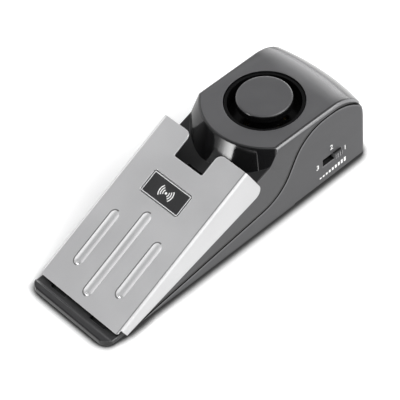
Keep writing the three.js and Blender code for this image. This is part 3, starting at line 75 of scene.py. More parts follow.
# Floor and studio light
# A white table with a tight contact shadow that reflections hardly show, in a grey room with pale walls
# left and right and a dark curtain on the right of the front. A low window beside the curtain shows in
# the drum's gloss, and a glow behind in the head's rounded back. One large soft box stands on the right.
class Shade:
    """A socket in a material, so that shader maths reads as sums, and a way to add any other node."""

    def __init__(self, tree, socket=None):
        self.tree = tree
        self.socket = socket

    def node(self, kind, settings, values, output=0):
        made = self.tree.nodes.new("ShaderNode" + kind)
        for name, setting in settings.items():
            setattr(made, name, setting)
        for name, value in values.items():
            if isinstance(name, int):
                socket = made.inputs[name]
            else:
                socket = next(s for s in made.inputs if s.name == name and not s.is_unavailable)
            if isinstance(value, Shade):
                self.tree.links.new(value.socket, socket)
            elif socket.type == "RGBA" and len(value) == 3:
                socket.default_value = (*value, 1)
            else:
                socket.default_value = value
        return Shade(self.tree, made.outputs[output] if made.outputs else None)

    def maths(self, operation, first, second=0.0):
        return self.node("Math", {"operation": operation}, {0: first, 1: second})

    def __add__(self, other):
        return self.maths("ADD", self, other)

    def __sub__(self, other):
        return self.maths("SUBTRACT", self, other)

    def __mul__(self, other):
        return self.maths("MULTIPLY", self, other)

    def __truediv__(self, other):
        return self.maths("DIVIDE", self, other)

    def __rsub__(self, other):
        return self.maths("SUBTRACT", other, self)

    def __gt__(self, other):
        return self.maths("GREATER_THAN", self, other)

    def __lt__(self, other):
        return self.maths("LESS_THAN", self, other)

    __radd__ = __add__
    __rmul__ = __mul__

    def size(self):
        return self.maths("ABSOLUTE", self)

    def either(self, other):
        return self.maths("MAXIMUM", self, other)

    def both(self, other):
        return self.maths("MINIMUM", self, other)

    def reach(self, other):
        """How far a point is from a centre, from its distances to it in two directions."""
        return self.maths("SQRT", self * self + other * other)

    def rise(self, low, high):
        """Goes smoothly from 0 to 1 as the value goes from low to high."""
        return self.node("MapRange", {"interpolation_type": "SMOOTHSTEP"}, {
            "Value": self, "From Min": low, "From Max": high, "To Min": 0.0, "To Max": 1.0})

    def span(self, low, high):
        """Goes straight from low to high as the value goes from 0 to 1."""
        return self * (high - low) + low

    def paint(self, under, over):
        """The colour under where the value is 0, and the colour over where it is 1."""
        return self.node("Mix", {"data_type": "RGBA"}, {"Factor": self, "A": under, "B": over}, 2)

    def along(self, direction):
        return self.node("VectorMath", {"operation": "DOT_PRODUCT"}, {0: self, 1: direction}, 1)

    def grain(self, per_metre, detail=2.0, roughness=0.5):
        return self.node("TexNoise", {}, {
            "Vector": self, "Scale": per_metre, "Detail": detail, "Roughness": roughness})

    def stretched(self, shares):
        return self.node("VectorMath", {"operation": "MULTIPLY"}, {0: self, 1: shares})

    def parts(self):
        """The place along X, Y and Z."""
        return [self.along(axis) for axis in ((1, 0, 0), (0, 1, 0), (0, 0, 1))]

    def bump(self, strength, depth, rounded=None):
        """The normal of a surface with this relief, on top of its rounded edges where it has them."""
        under = {} if rounded is None else {"Normal": rounded}
        return self.node("Bump", {}, {"Strength": strength, "Distance": depth, "Height": self, **under})


def new_finish(name):
    """A material with an empty tree, and the place on the piece in metres for its maths to start from."""
    material = bpy.data.materials.new(name)
    material.use_nodes = True
    material.node_tree.nodes.clear()
    start = Shade(material.node_tree)
    return material, start.node("TexCoord", {}, {}, "Object")


def end_finish(place, sockets):
    shader = place.node("BsdfPrincipled", {}, sockets)
    place.node("OutputMaterial", {}, {"Surface": shader})


def add_object(name, data):
    piece = bpy.data.objects.new(name, data)
    bpy.context.scene.collection.objects.link(piece)
    return piece


table_finish, place = new_finish("white_table")
seen = place.node("LightPath", {}, {}, "Is Camera Ray")
mirrored = place.node("LightPath", {}, {}, "Is Glossy Ray")
away = place.node("AmbientOcclusion", {"samples": 16}, {"Distance": 0.005}, "AO").rise(0.5, 1.0)
contact = seen * (1.0 - away)
cloud = place.grain(9.0).rise(0.2, 0.8).paint((0.93, 0.93, 0.93), (0.95, 0.95, 0.95))
lit = place.node("BsdfPrincipled", {}, {
    "Base Color": contact.paint(seen.paint((1, 1, 1), cloud), (0.05, 0.05, 0.05)),
    "Roughness": 0.85, "Specular IOR Level": 0.2,
    "Emission Color": (seen * away).paint((0, 0, 0), (1, 1, 1)), "Emission Strength": 0.28})
plain = place.node("Emission", {}, {"Color": away.paint((0.85, 0.85, 0.85), (1, 1, 1)), "Strength": 1.0})
place.node("OutputMaterial", {}, {"Surface": place.node("MixShader", {}, {0: mirrored, 1: lit, 2: plain})})
table_mesh = bpy.data.meshes.new("table")
half = 3
corners = [(-half, -half, 0), (half, -half, 0), (half, half, 0), (-half, half, 0)]
table_mesh.from_pydata(corners, [], [(0, 1, 2, 3)])
table_mesh.materials.append(table_finish)
table = add_object("table", table_mesh)

world = bpy.data.worlds.new("room")
bpy.context.scene.world = world
world.use_nodes = True
world.node_tree.nodes.clear()
room = Shade(world.node_tree)
seen = room.node("LightPath", {}, {}, "Is Camera Ray")
toward = room.node("TexCoord", {}, {}, "Generated")
left_wall, right_wall = toward.along((-0.953, -0.05, 0.3)), toward.along((0.975, -0.08, 0.21))
upper_right = toward.along((0.63, -0.306, 0.715)).rise(0.86, 0.96)
side_walls = left_wall.either(right_wall).rise(0.84, 0.97).either(upper_right)
dark_curtain = toward.along((0.5, -0.86, 0.1)).rise(0.7, 0.82)
walls = side_walls.paint((0.43, 0.43, 0.435), (1.5, 1.5, 1.5))
walls = dark_curtain.paint(walls, (0.03, 0.03, 0.03))
right, ahead, up = (toward.along(axis) for axis in ((1, 0, 0), (0, -1, 0), (0, 0, 1)))
fading = right.rise(-0.6, -0.1)
window = fading * fading * (right < -0.04) * (ahead > 0.5) * (up > -0.1) * (1.0 - up.rise(0.16, 0.24))
walls = window.paint(walls, (17.0, 17.0, 17.0))
glow_top = 0.75
glow = toward.along((-0.55, 0.8, 0.15)).rise(0.8, 0.94) * (glow_top - up).either(0.0)
walls = (glow / glow_top).paint(walls, (5.2, 5.2, 5.2))
dim = room.node("Background", {}, {"Color": walls, "Strength": 1.0})
white = room.node("Background", {}, {"Color": (1, 1, 1), "Strength": 1.0})
room.node("OutputWorld", {}, {"Surface": room.node("MixShader", {}, {0: seen, 1: dim, 2: white})})


lamp = bpy.data.lights.new("box_right", "AREA")
lamp.shape, lamp.size, lamp.size_y, lamp.energy = "RECTANGLE", 1.2, 1.2, 26
soft_box = add_object("box_right", lamp)
soft_box.visible_camera = False
soft_box.location = (1.13, 0.71, 1.2)
soft_box.rotation_euler = (-Vector(soft_box.location)).to_track_quat("-Z", "Y").to_euler()


# Base housing
# The lower half of the body, one moulding in dark grey ABS with a fine spark-eroded grain on its
# outside. Its edges are a little polished from the mould and from handling.
def dress(node, finish, sharp=38):
    """Gives a CAD node its finish, with smooth shading on all but its sharp edges."""
    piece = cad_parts[node]
    mesh = piece.data
    mesh.materials[0] = finish
    if "custom_normal" in mesh.attributes:
        mesh.attributes.remove(mesh.attributes["custom_normal"])
    mesh.shade_smooth()
    weld = piece.modifiers.new("weld", "WELD")
    weld.merge_threshold = 2e-6
    split = piece.modifiers.new("sharp", "EDGE_SPLIT")
    split.split_angle = math.radians(sharp)
    normals = piece.modifiers.new("normals", "WEIGHTED_NORMAL")
    normals.weight = 60


def edge_wear(place, radius):
    """1 along outer and inner edges within a radius and 0 on the open surface, and the rounded normal."""
    rounded = place.node("Bevel", {"samples": 6}, {"Radius": radius})
    true_normal = place.node("NewGeometry", {}, {}, "True Normal")
    met = rounded.along(true_normal)
    return (1.0 - met).rise(0.01, 0.25), rounded


def painted_recess_shade(place):
    """1 deep in a narrow gap and 0 in the open: where the finishes paint shade, near black."""
    return 1.0 - place.node("AmbientOcclusion", {"samples": 8}, {"Distance": 0.003}, "AO").rise(0.5, 0.92)


cheek = 0.0222
seam_below_top = 0.0022
seam_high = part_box("top_housing")[1].z - seam_below_top


def painted_seam_line(place, direction, radius, least_tilt):
    """1 along the cheeks' edges that round off in a direction, for one side of the seam: the base paints a
    highlight there and the top half paints shade.
    """
    rounded = place.node("Bevel", {"samples": 8}, {"Radius": radius})
    true_normal = place.node("NewGeometry", {}, {}, "True Normal")
    tilt = rounded.along(direction) - true_normal.along(direction)
    on_cheek = (true_normal.along((1, 0, 0)).size() > 0.9) * (place.along((0, 0, 1)) < seam_high)
    return tilt.rise(least_tilt, least_tilt + 0.05) * on_cheek


def moulded(name, colour, worn_colour, rough, grain_depth, edge=0.0003, specular=0.5, switch_slots=False):
    """Moulded plastic: a fine grain, slow changes of sheen, flow lines, paler polished edges, and painted
    shade in narrow gaps; with switch_slots, also painted shade in the slots and a painted highlight under
    the seam.
    """
    material, place = new_finish(name)
    worn, rounded = edge_wear(place, edge)
    slow = place.grain(55.0, 3.0).rise(0.3, 0.7)
    flow = place.stretched((1.0, 0.25, 1.0)).grain(240.0, 2.0).rise(0.35, 0.65)
    fine = place.grain(5200.0, 1.0)
    base = (slow * 0.6 + flow * 0.4).paint(colour, [c * 1.1 for c in colour])
    base = (worn * 0.8).paint(base, worn_colour)
    # Painted shade: the colour goes near black deep in narrow gaps, which are also rougher.
    recess_shade_mask = painted_recess_shade(place)
    if switch_slots:
        # Painted highlight: a pale line along the base's rounded edge under the seam.
        base = (painted_seam_line(place, (0, -0.6, 0.8), 0.0015, 0.04) * 0.6).paint(base, (0.16, 0.16, 0.165))
        # Painted shade: the walls inside the switch slots go near black.
        slot_run, slot_up, half_length, half_height = 0.05015, 0.01235, 0.00515, 0.00195
        across, run, up = place.parts()
        slot = ((run - slot_run).size() < half_length) * ((up - slot_up).size() < half_height)
        recess_shade_mask = recess_shade_mask.either(slot * (across.size() < cheek - 0.00008))
    sheen = slow.span(rough * 0.92, rough * 1.08) + fine * 0.06
    end_finish(place, {
        "Base Color": recess_shade_mask.paint(base, (0.002, 0.002, 0.002)),
        "Roughness": sheen - worn * (rough * 0.25) + recess_shade_mask * 0.5,
        "Normal": (fine + flow * 0.2).bump(0.55, grain_depth, rounded), "Specular IOR Level": specular})
    return material


housing_grey, worn_grey = (0.07, 0.07, 0.073), (0.17, 0.17, 0.175)
# Painted shade: the base's grey is a darker copy of the housing grey, so that its cheeks read darker.
dress("base_housing", moulded(
    "housing_grey", (0.054, 0.054, 0.0565), worn_grey, 0.36, 0.00002, switch_slots=True))


# Top housing
# The upper half: the sloping deck, the drum and the head in the same plastic. The drum's wall and the
# deck come from polished steel in the mould, so they are shinier than the head's top; their darker colour,
# and the toe's, is painted shade.
def top_finish():
    material, place = new_finish("housing_top")
    worn, rounded = edge_wear(place, 0.0004)
    normal = place.node("NewGeometry", {}, {}, "Normal")
    forward, level = normal.along((0, -1, 0)), normal.along((0, 0, 1))
    to_front = place.along((0, -1, 0))
    ahead, toe = to_front.rise(-0.045, -0.043), to_front.rise(0.06, 0.062)
    wall = forward.rise(0.12, 0.2) * (1.0 - level.rise(0.75, 0.85)) * ahead
    deck = forward.rise(0.2, 0.3) * level.rise(0.85, 0.9)
    polished_and_shaded = wall.either(deck).either(toe * 0.75)
    outward = normal.along((1, 0, 0)).size()
    edge = outward.rise(0.45, 0.6) * level.rise(0.2, 0.35) * (1.0 - deck)
    fold_shade = outward.rise(0.02, 0.1) * (1.0 - outward.rise(0.4, 0.5)) * level.rise(0.5, 0.7) * (1.0 - deck)
    # Painted shade: the colour goes near black deep in narrow gaps.
    recess_shade_mask = painted_recess_shade(place)
    slow = place.grain(55.0, 3.0).rise(0.3, 0.7)
    flow = place.stretched((1.0, 0.25, 1.0)).grain(240.0, 2.0).rise(0.35, 0.65)
    fine = place.grain(5200.0, 1.0)
    base = (slow * 0.6 + flow * 0.4).paint(housing_grey, [c * 1.1 for c in housing_grey])
    backward = normal.along((0, 1, 0)) * (1.0 - edge) * level.rise(0.1, 0.3)
    sheen = backward.rise(0.1, 0.6) * 0.16
    # Painted shade: a dark line where the head's top starts to round over, and darker sides.
    base = (fold_shade * 0.8).either(outward.rise(0.85, 0.97) * 0.36).paint(base, (0.01, 0.01, 0.01))
    # Painted highlight: a pale band where the head's top rounds over into its sides.
    base = (edge * 0.7).paint(base, (0.26, 0.26, 0.265))
    # Painted shade: the drum's wall, the deck and the toe go near black.
    base = polished_and_shaded.paint(base, (0.008, 0.008, 0.0085))
    base = (worn * 0.6).paint(base, (0.2, 0.2, 0.205))
    # Painted shade: narrow gaps and the top half's rounded edge above the seam go near black.
    base = recess_shade_mask.either(painted_seam_line(place, (0, 0.6, -0.8), 0.0016, 0.07)).paint(base, (0.002, 0.002, 0.002))
    grain = (1.0 - polished_and_shaded) * (fine + flow * 0.2)
    end_finish(place, {
        "Base Color": base,
        "Roughness": slow.span(0.31, 0.37) + fine * 0.05 - wall * 0.21 - worn * 0.05 - edge * 0.12 - sheen,
        "Coat Weight": backward.rise(0.45, 0.65), "Coat Roughness": 0.1, "Coat IOR": 1.7,
        "Normal": grain.bump(0.5, 0.00002, rounded)})
    return material


dress("top_housing", top_finish())


# Battery door
# A flat panel of the base's plastic that slides out to the rear. Five finger grooves are moulded in
# its outside, with a raised arrow that points the way it slides.
def mesh_piece(name, points, faces, finish, body):
    mesh = bpy.data.meshes.new(name)
    mesh.from_pydata([tuple(p) for p in points], [], faces)
    mesh.materials.append(finish)
    form = bmesh.new()
    form.from_mesh(mesh)
    bmesh.ops.remove_doubles(form, verts=form.verts, dist=1e-7)
    bmesh.ops.recalc_face_normals(form, faces=form.faces)
    form.to_mesh(mesh)
    form.free()
    piece = add_object(name, mesh)
    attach(piece, body)
    return piece


def raised_outline(outline, low, high, start=0):
    """The points and faces of a flat outline in X and Y given some height, numbered from start."""
    count = len(outline)
    points = [(x, y, low) for x, y in outline] + [(x, y, high) for x, y in outline]
    faces = [tuple(range(start, start + count))[::-1], tuple(range(start + count, start + 2 * count))]
    faces += [(start + i, start + (i + 1) % count, start + count + (i + 1) % count, start + count + i)
              for i in range(count)]
    return points, faces


door_finish = moulded("door_grey", housing_grey, worn_grey, 0.38, 0.00002)
dress("battery_door", door_finish)
arrow_half, arrow_root, arrow_tip, arrow_low, arrow_high = 0.0045, 0.0394, 0.0444, 0.00022, 0.0006
points, faces = raised_outline(
    [(-arrow_half, arrow_root), (arrow_half, arrow_root), (0, arrow_tip)], arrow_low, arrow_high)
arrow = mesh_piece("door_arrow", points, faces, door_finish, "door")
bevel = arrow.modifiers.new("edges", "BEVEL")
bevel.width, bevel.segments, bevel.limit_method, bevel.angle_limit = 0.00012, 2, "ANGLE", math.radians(30)
arrow.data.shade_smooth()
normals = arrow.modifiers.new("normals", "WEIGHTED_NORMAL")
normals.weight = 60


# Pads
# Soft black rubber strips pressed into shallow pockets in the underside, one under the toe and two
# under the head. They keep the wedge from slipping, so their faces carry a fine tread.
def rubber(name, tread_per_metre, tread_depth):
    material, place = new_finish(name)
    worn, rounded = edge_wear(place, 0.0004)
    dust = place.grain(120.0, 4.0, 0.6).rise(0.45, 0.75)
    fine = place.grain(3000.0, 2.0)
    tread = place.node("TexWave", {"bands_direction": "Y"}, {"Vector": place, "Scale": tread_per_metre}, 1)
    end_finish(place, {
        "Base Color": (dust * 0.5 + worn * 0.3).paint((0.012, 0.012, 0.0125), (0.05, 0.049, 0.047)),
        "Roughness": dust.span(0.62, 0.85), "Normal": (tread + fine * 0.3).bump(0.6, tread_depth, rounded)})
    return material


pad_finish = rubber("pad_rubber", 300.0, 0.00015)
for pad in ("front_pad", "rear_pad_left", "rear_pad_right"):
    dress(pad, pad_finish)


# Screws
# Four zinc plated pan heads hold the halves together from below, and two smaller ones the board.
# Each has a pressed cross recess and a rolled thread on its shank.
def zinc():
    material, place = new_finish("zinc_plate")
    worn, rounded = edge_wear(place, 0.0001)
    cloud = place.grain(900.0, 4.0, 0.6).rise(0.35, 0.7)
    turned = place.grain(6000.0, 1.0)
    end_finish(place, {
        "Base Color": (cloud * 0.7).paint((0.55, 0.56, 0.58), (0.44, 0.45, 0.44)),
        "Metallic": 1.0, "Roughness": cloud.span(0.24, 0.4) - worn * 0.06,
        "Normal": turned.bump(0.3, 0.00001, rounded)})
    return material


def between_rings(count, sides):
    """The faces that join each ring of points to the next."""
    faces = []
    for k in range(count - 1):
        for i in range(sides):
            j = (i + 1) % sides
            faces.append((k * sides + i, k * sides + j, (k + 1) * sides + j, (k + 1) * sides + i))
    return faces


def screw_piece(node, head_up, finish, shank, head_height):
    """A screw in the place of a CAD node: recess, rounded head, threaded shank and a blunt tip."""
    low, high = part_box(node)
    x, y = (low.x + high.x) / 2, (low.y + high.y) / 2
    head = (high.x - low.x) / 2
    length = high.z - low.z
    sides, face_rings, steps_per_pitch, tip_steps = 48, 12, 6, 7
    angles = [2 * math.pi * i / sides for i in range(sides)]
    rings = []
    recess_reach, recess_width, recess_depth = head * 0.62, head * 0.15, head_height * 0.62
    for step in range(face_rings + 1):
        radius = head * 0.9 * step / face_rings
        crown = 0.12 * head_height * (radius / head) ** 2
        ring = []
        for angle in angles:
            a, b = sorted((abs(math.cos(angle)) * radius, abs(math.sin(angle)) * radius))
            inside = a < recess_width and b < recess_reach
            drop = recess_depth * (1 - 0.45 * b / recess_reach) if inside else 0
            ring.append((radius, angle, crown + drop))
        rings.append(ring)
    for radius, depth in ((0.97, 0.2), (1.0, 0.38), (1.0, 0.92), (0.97, 1.0)):
        rings.append([(head * radius, angle, head_height * depth) for angle in angles])
    pitch = shank * 0.8
    steps = int((length - head_height) / pitch * steps_per_pitch)
    for step in range(steps + 1):
        depth = head_height + (length - head_height) * step / steps
        taper = min(1.0, (steps - step) / tip_steps + 0.35)
        ring = []
        for i, angle in enumerate(angles):
            phase = (depth / pitch + i / sides) % 1
            crest = 1 - abs(2 * phase - 1)
            ring.append((shank * taper * (0.76 + 0.24 * crest), angle, depth))
        rings.append(ring)
    points = []
    for ring in rings:
        for radius, angle, depth in ring:
            z = high.z - depth if head_up else low.z + depth
            points.append((x + radius * math.cos(angle), y + radius * math.sin(angle), z))
    last = (len(rings) - 1) * sides
    faces = between_rings(len(rings), sides) + [tuple(range(last, last + sides))]
    piece = mesh_piece(node + "_detail", points, faces, finish, "housing")
    piece.data.shade_smooth()
    split = piece.modifiers.new("sharp", "EDGE_SPLIT")
    split.split_angle = math.radians(50)
    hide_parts(node)


zinc_finish = zinc()
for number in range(1, 5):
    screw_piece(f"housing_screw_{number}", False, zinc_finish, 0.0011, 0.0014)
for number in range(1, 3):
    screw_piece(f"board_screw_{number}", True, zinc_finish, 0.0009, 0.0012)


# Main board
# Green solder mask on glass fibre board, with copper tracks under the mask, gold plated lands and
# the brown edge of the cut laminate.
def board_finish():
    material, place = new_finish("solder_mask")
    worn, rounded = edge_wear(place, 0.00015)
    x, y = place.along((1, 0, 0)), place.along((0, 1, 0))
    up = place.node("NewGeometry", {}, {}, "Normal").along((0, 0, 1)).size()
    cells = place.node("TexBrick", {"offset": 0.5}, {
        "Vector": place, "Scale": 100.0, "Mortar Size": 0.022, "Mortar Smooth": 0.1,
        "Brick Width": 0.62, "Row Height": 0.22}, "Fac")
    weave = place.grain(2600.0, 1.0)
    pitch, land_radius, hole_radius = 0.00254, 0.00062, 0.00028
    across, down = ((way.maths("FRACT", way / pitch + 100.5) - 0.5) * pitch for way in (x, y))
    reach = across.reach(down)
    scattered = place.node("TexVoronoi", {}, {"Vector": place, "Scale": 260.0}, "Color")
    chosen = scattered.along((1, 0, 0)) > 0.62
    land = (reach < land_radius) * chosen * (up > 0.5)
    hole = (reach < hole_radius) * land
    mask_colour = cells.paint((0.008, 0.075, 0.028), (0.02, 0.15, 0.05))
    base = land.paint(mask_colour, (0.75, 0.55, 0.22))
    # Painted shade: the holes in the lands are dark.
    base = hole.paint(base, (0.02, 0.02, 0.015))
    base = (up > 0.5).paint((0.30, 0.27, 0.14), base)
    relief = cells * 0.7 + land - hole + weave * 0.15
    end_finish(place, {
        "Base Color": base, "Metallic": land * (1.0 - hole),
        "Roughness": 0.32 + weave * 0.1 + (1.0 - up) * 0.3 + worn * 0.1,
        "Normal": relief.bump(0.5, 0.00003, rounded)})
    return material


dress("main_board", board_finish())


# Parts on the board
# A black chip with tinned legs, a ferrite coil wound with enamelled wire, a sleeved capacitor, a
# transistor, a spring and can shake sensor and four banded resistors, all soldered down.
def part_finish(name, colour, rough, metal_mask=None, metal=(0.62, 0.62, 0.6), fine_per_metre=4000.0):
    """A moulded or lacquered part that may have tinned metal where a mask says so."""
    material, place = new_finish(name)
    worn, rounded = edge_wear(place, 0.0001)
    fine = place.grain(fine_per_metre, 2.0)
    mask = metal_mask(place) if metal_mask else worn * 0.0
    base = mask.paint((worn * 0.4 + fine * 0.3).paint(colour, [c * 1.6 + 0.01 for c in colour]), metal)
    end_finish(place, {
        "Base Color": base, "Metallic": mask, "Roughness": mask.span(rough, 0.28) + fine * 0.08,
        "Normal": fine.bump(0.4, 0.00001, rounded)})
    return material


def middle(node):
    low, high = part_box(node)
    return (low + high) / 2


chip_across, chip_half_width = middle("alarm_chip").x, 0.00262
dress("alarm_chip", part_finish(
    "chip_black", (0.012, 0.012, 0.013), 0.48,
    lambda place: (place.along((1, 0, 0)) - chip_across).size() > chip_half_width))
transistor_legs_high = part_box("transistor")[0].z + 0.001
dress("transistor", part_finish(
    "transistor_black", (0.014, 0.014, 0.014), 0.42,
    lambda place: place.along((0, 0, 1)) < transistor_legs_high))
sensor_plug_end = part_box("vibration_sensor")[0].y + 0.0012
dress("vibration_sensor", part_finish(
    "sensor_can", (0.02, 0.02, 0.02), 0.45, lambda place: place.along((0, 1, 0)) > sensor_plug_end))


def coil_finish():
    material, place = new_finish("coil_winding")
    worn, rounded = edge_wear(place, 0.0001)
    low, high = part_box("boost_coil")
    z = place.along((0, 0, 1))
    flange, curls_per_metre = 0.001, 24000.0
    wound = (z > low.z + flange) * (z < high.z - flange)
    curls = z.maths("SINE", z * curls_per_metre)
    ferrite = place.grain(2500.0, 3.0)
    # Painted shade: the winding darkens in the grooves between its turns.
    base = wound.paint(
        ferrite.paint((0.03, 0.03, 0.032), (0.07, 0.07, 0.07)),
        (curls * 0.5 + 0.5).paint((0.28, 0.08, 0.03), (0.62, 0.24, 0.09)))
    end_finish(place, {
        "Base Color": base, "Metallic": wound * 0.8, "Roughness": wound.span(0.7, 0.28) - worn * 0.05,
        "Normal": (wound * curls + ferrite * 0.2).bump(0.8, 0.00005, rounded)})
    return material


dress("boost_coil", coil_finish())


def capacitor_finish():
    material, place = new_finish("capacitor_sleeve")
    worn, rounded = edge_wear(place, 0.00015)
    high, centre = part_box("capacitor")[1], middle("capacitor")
    x, y, z = place.parts()
    across, down = x - centre.x, y - centre.y
    bare_radius, half_vent, half_stripe = 0.0019, 0.0001, 0.0009
    top = (z > high.z - 0.0001) * (across.reach(down) < bare_radius)
    vent = top * (across.size() < half_vent).either(down.size() < half_vent)
    stripe = (across > bare_radius) * (down.size() < half_stripe)
    shrink = place.stretched((1.0, 1.0, 0.3)).grain(1800.0, 2.0)
    base = stripe.paint((0.012, 0.02, 0.08), (0.5, 0.52, 0.56))
    base = top.paint(base, (0.7, 0.7, 0.7))
    end_finish(place, {
        "Base Color": base, "Metallic": top, "Roughness": 0.24 + shrink * 0.14 + worn * 0.05,
        "Normal": (shrink * 0.3 - vent).bump(0.6, 0.00005, rounded)})
    return material


dress("capacitor", capacitor_finish())

band_colours = {"brown": (0.12, 0.03, 0.01), "black": (0.01, 0.01, 0.01), "red": (0.5, 0.02, 0.02),
                "orange": (0.75, 0.2, 0.02), "gold": (0.6, 0.42, 0.12), "yellow": (0.75, 0.55, 0.04)}
resistor_bands = (("brown", "black", "orange", "gold"), ("yellow", "brown", "red", "gold"),
                  ("red", "red", "orange", "gold"), ("brown", "black", "red", "gold"))


def resistor_finish(number, bands):
    material, place = new_finish(f"resistor_lacquer_{number}")
    worn, rounded = edge_wear(place, 0.0001)
    run = place.along((0, 1, 0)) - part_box(f"resistor_{number}")[0].y
    fine = place.grain(3000.0, 2.0)
    base = fine.paint((0.55, 0.42, 0.24), (0.62, 0.49, 0.3))
    first, pitch, last_gap, half_band = 0.0006, 0.00085, 0.0004, 0.0002
    for i, band in enumerate(bands):
        band_run = first + i * pitch + (last_gap if i == 3 else 0)
        base = ((run - band_run).size() < half_band).paint(base, band_colours[band])
    end_finish(place, {
        "Base Color": base, "Roughness": 0.3 + fine * 0.15 + worn * 0.1,
        "Normal": fine.bump(0.4, 0.00002, rounded)})
    return material


for number, bands in enumerate(resistor_bands, 1):
    dress(f"resistor_{number}", resistor_finish(number, bands))


# Push switch
# A small black switch with a pressed steel top plate, and a domed button with a seat for the spring.
steel_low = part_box("tact_switch")[1].z - 0.0005
dress("tact_switch", part_finish(
    "push_switch", (0.016, 0.016, 0.016), 0.5, lambda place: place.along((0, 0, 1)) > steel_low))
dress("tact_button", part_finish("push_button", (0.02, 0.02, 0.021), 0.42))


# Battery
# A 9 V block: a steel can in a plain dark wrap with a copper band at the terminal end, crimped ends,
# and two nickel plated terminals that the snap grips.
def battery_finish():
    material, place = new_finish("battery_wrap")
    worn, rounded = edge_wear(place, 0.0004)
    can_front, crimp_length, rear_crimp, band_end, half_line = 0.01635, 0.0012, 0.0453, 0.0135, 0.0003
    run = place.along((0, 1, 0)) - can_front
    terminal = run < -0.00005
    crimp = (run < crimp_length).either(run > rear_crimp) * (1.0 - terminal)
    band = (run < band_end) * (1.0 - terminal) * (1.0 - crimp)
    line = (run - (band_end + half_line)).size() < half_line
    wrap_seam = ((place.along((0, 0, 1)) - 0.0033).size() < 0.0002) * 0.5
    scuff = place.grain(300.0, 5.0, 0.65).rise(0.55, 0.8)
    base = band.paint((0.016, 0.017, 0.02), (0.5, 0.2, 0.07))
    base = line.paint(base, (0.6, 0.6, 0.6))
    base = (crimp.either(terminal)).paint(base, (0.62, 0.61, 0.58))
    base = (worn * 0.35 + scuff * 0.12).paint(base, (0.6, 0.6, 0.6))
    end_finish(place, {
        "Base Color": base, "Metallic": (band * 0.8).either(crimp).either(terminal),
        "Roughness": scuff.span(0.24, 0.42),
        "Normal": (crimp + scuff * 0.2 - wrap_seam).bump(0.4, 0.00006, rounded)})
    return material


dress("battery", battery_finish())


# Battery snap, foam and leads
# The snap is a black vinyl cap that grips both terminals. A block of open foam keeps the battery
# forward. Leads in red and black vinyl run to the board and up to the sounder.
dress("battery_snap", part_finish("snap_vinyl", (0.018, 0.018, 0.019), 0.55, fine_per_metre=1500.0))


def foam_finish():
    material, place = new_finish("open_foam")
    cells = place.node("TexVoronoi", {}, {"Vector": place, "Scale": 1400.0}, "Distance")
    # Painted shade: the hollows between the cells are darker.
    end_finish(place, {
        "Base Color": cells.rise(0.1, 0.6).paint((0.075, 0.075, 0.077), (0.02, 0.02, 0.021)),
        "Roughness": place.grain(200.0, 3.0).span(0.85, 1.0), "Normal": (1.0 - cells).bump(0.9, 0.0002)})
    return material


def foam_block():
    """The foam stands in at its corners, swells between them and has dimpled faces."""
    low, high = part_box("battery_foam")
    size, centre = high - low, (low + high) / 2
    form = bmesh.new()
    bmesh.ops.create_cube(form, size=1.0)
    bmesh.ops.subdivide_edges(form, edges=form.edges, cuts=11, use_grid_fill=True)
    least_inset, corner_inset, dimple_inset, side_inset = 0.03, 0.05, 0.03, 0.02
    for vertex in form.verts:
        share = vertex.co * 2
        dimple = 0.5 + 0.5 * math.sin(share.x * 23 + share.z * 5) * math.sin(share.z * 19 - share.x * 3)
        inset = least_inset + corner_inset * share.x ** 4 * share.z ** 4 + dimple_inset * dimple
        vertex.co = Vector((
            centre.x + vertex.co.x * size.x * (1 - side_inset * share.z ** 6),
            centre.y + vertex.co.y * size.y * (1 - inset),
            centre.z + vertex.co.z * size.z * (1 - side_inset * share.x ** 6)))
    mesh = bpy.data.meshes.new("foam_block")
    form.to_mesh(mesh)
    form.free()
    mesh.materials.append(foam_finish())
    mesh.shade_smooth()
    piece = add_object("foam_block", mesh)
    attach(piece, "housing")
    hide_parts("battery_foam")
    split = piece.modifiers.new("corners", "EDGE_SPLIT")
    split.split_angle = math.radians(60)


foam_block()


front_to_middle = 71.15


def smooth_route(chosen, side, per_span=8):
    """A smooth curve through points in mm from the front, with their X made side times as much."""
    points = [Vector((side * x, y - front_to_middle, z)) / 1000 for x, y, z in chosen]
    ends = [2 * points[0] - points[1]] + points + [2 * points[-1] - points[-2]]
    route = []
    for k in range(1, len(ends) - 2):
        a, b, c, d = ends[k - 1:k + 3]
        for i in range(per_span):
            t = i / per_span
            route.append(0.5 * (2 * b + (c - a) * t + (2 * a - 5 * b + 4 * c - d) * t * t
                                + (3 * b - a - 3 * c + d) * t ** 3))
    return route + [points[-1]]


def swept(name, route, section, side, finish, body):
    """A section of [across, up] offsets carried along a route, starting with across along side."""
    points, across, count = [], Vector(side), len(section)
    for k, point in enumerate(route):
        tangent = (route[min(k + 1, len(route) - 1)] - route[max(k - 1, 0)]).normalized()
        across = (across - tangent * across.dot(tangent)).normalized()
        up = tangent.cross(across)
        points += [point + across * a + up * b for a, b in section]
    last = (len(route) - 1) * count
    faces = between_rings(len(route), count)
    faces += [tuple(range(count))[::-1], tuple(range(last, last + count))]
    piece = mesh_piece(name, points, faces, finish, body)
    piece.data.shade_smooth()
    split = piece.modifiers.new("ends", "EDGE_SPLIT")
    split.split_angle = math.radians(50)
    return piece


def ring_section(radius, sides):
    return [(radius * math.cos(2 * math.pi * i / sides), radius * math.sin(2 * math.pi * i / sides))
            for i in range(sides)]


def vinyl(name, colour):
    material, place = new_finish(name)
    fine = place.grain(2200.0, 2.0)
    slow = place.grain(150.0, 2.0).rise(0.35, 0.65)
    end_finish(place, {
        "Base Color": slow.paint(colour, [c * 0.8 for c in colour]),
        "Roughness": slow.span(0.34, 0.48) + fine * 0.06, "Normal": fine.bump(0.3, 0.00002)})
    return material


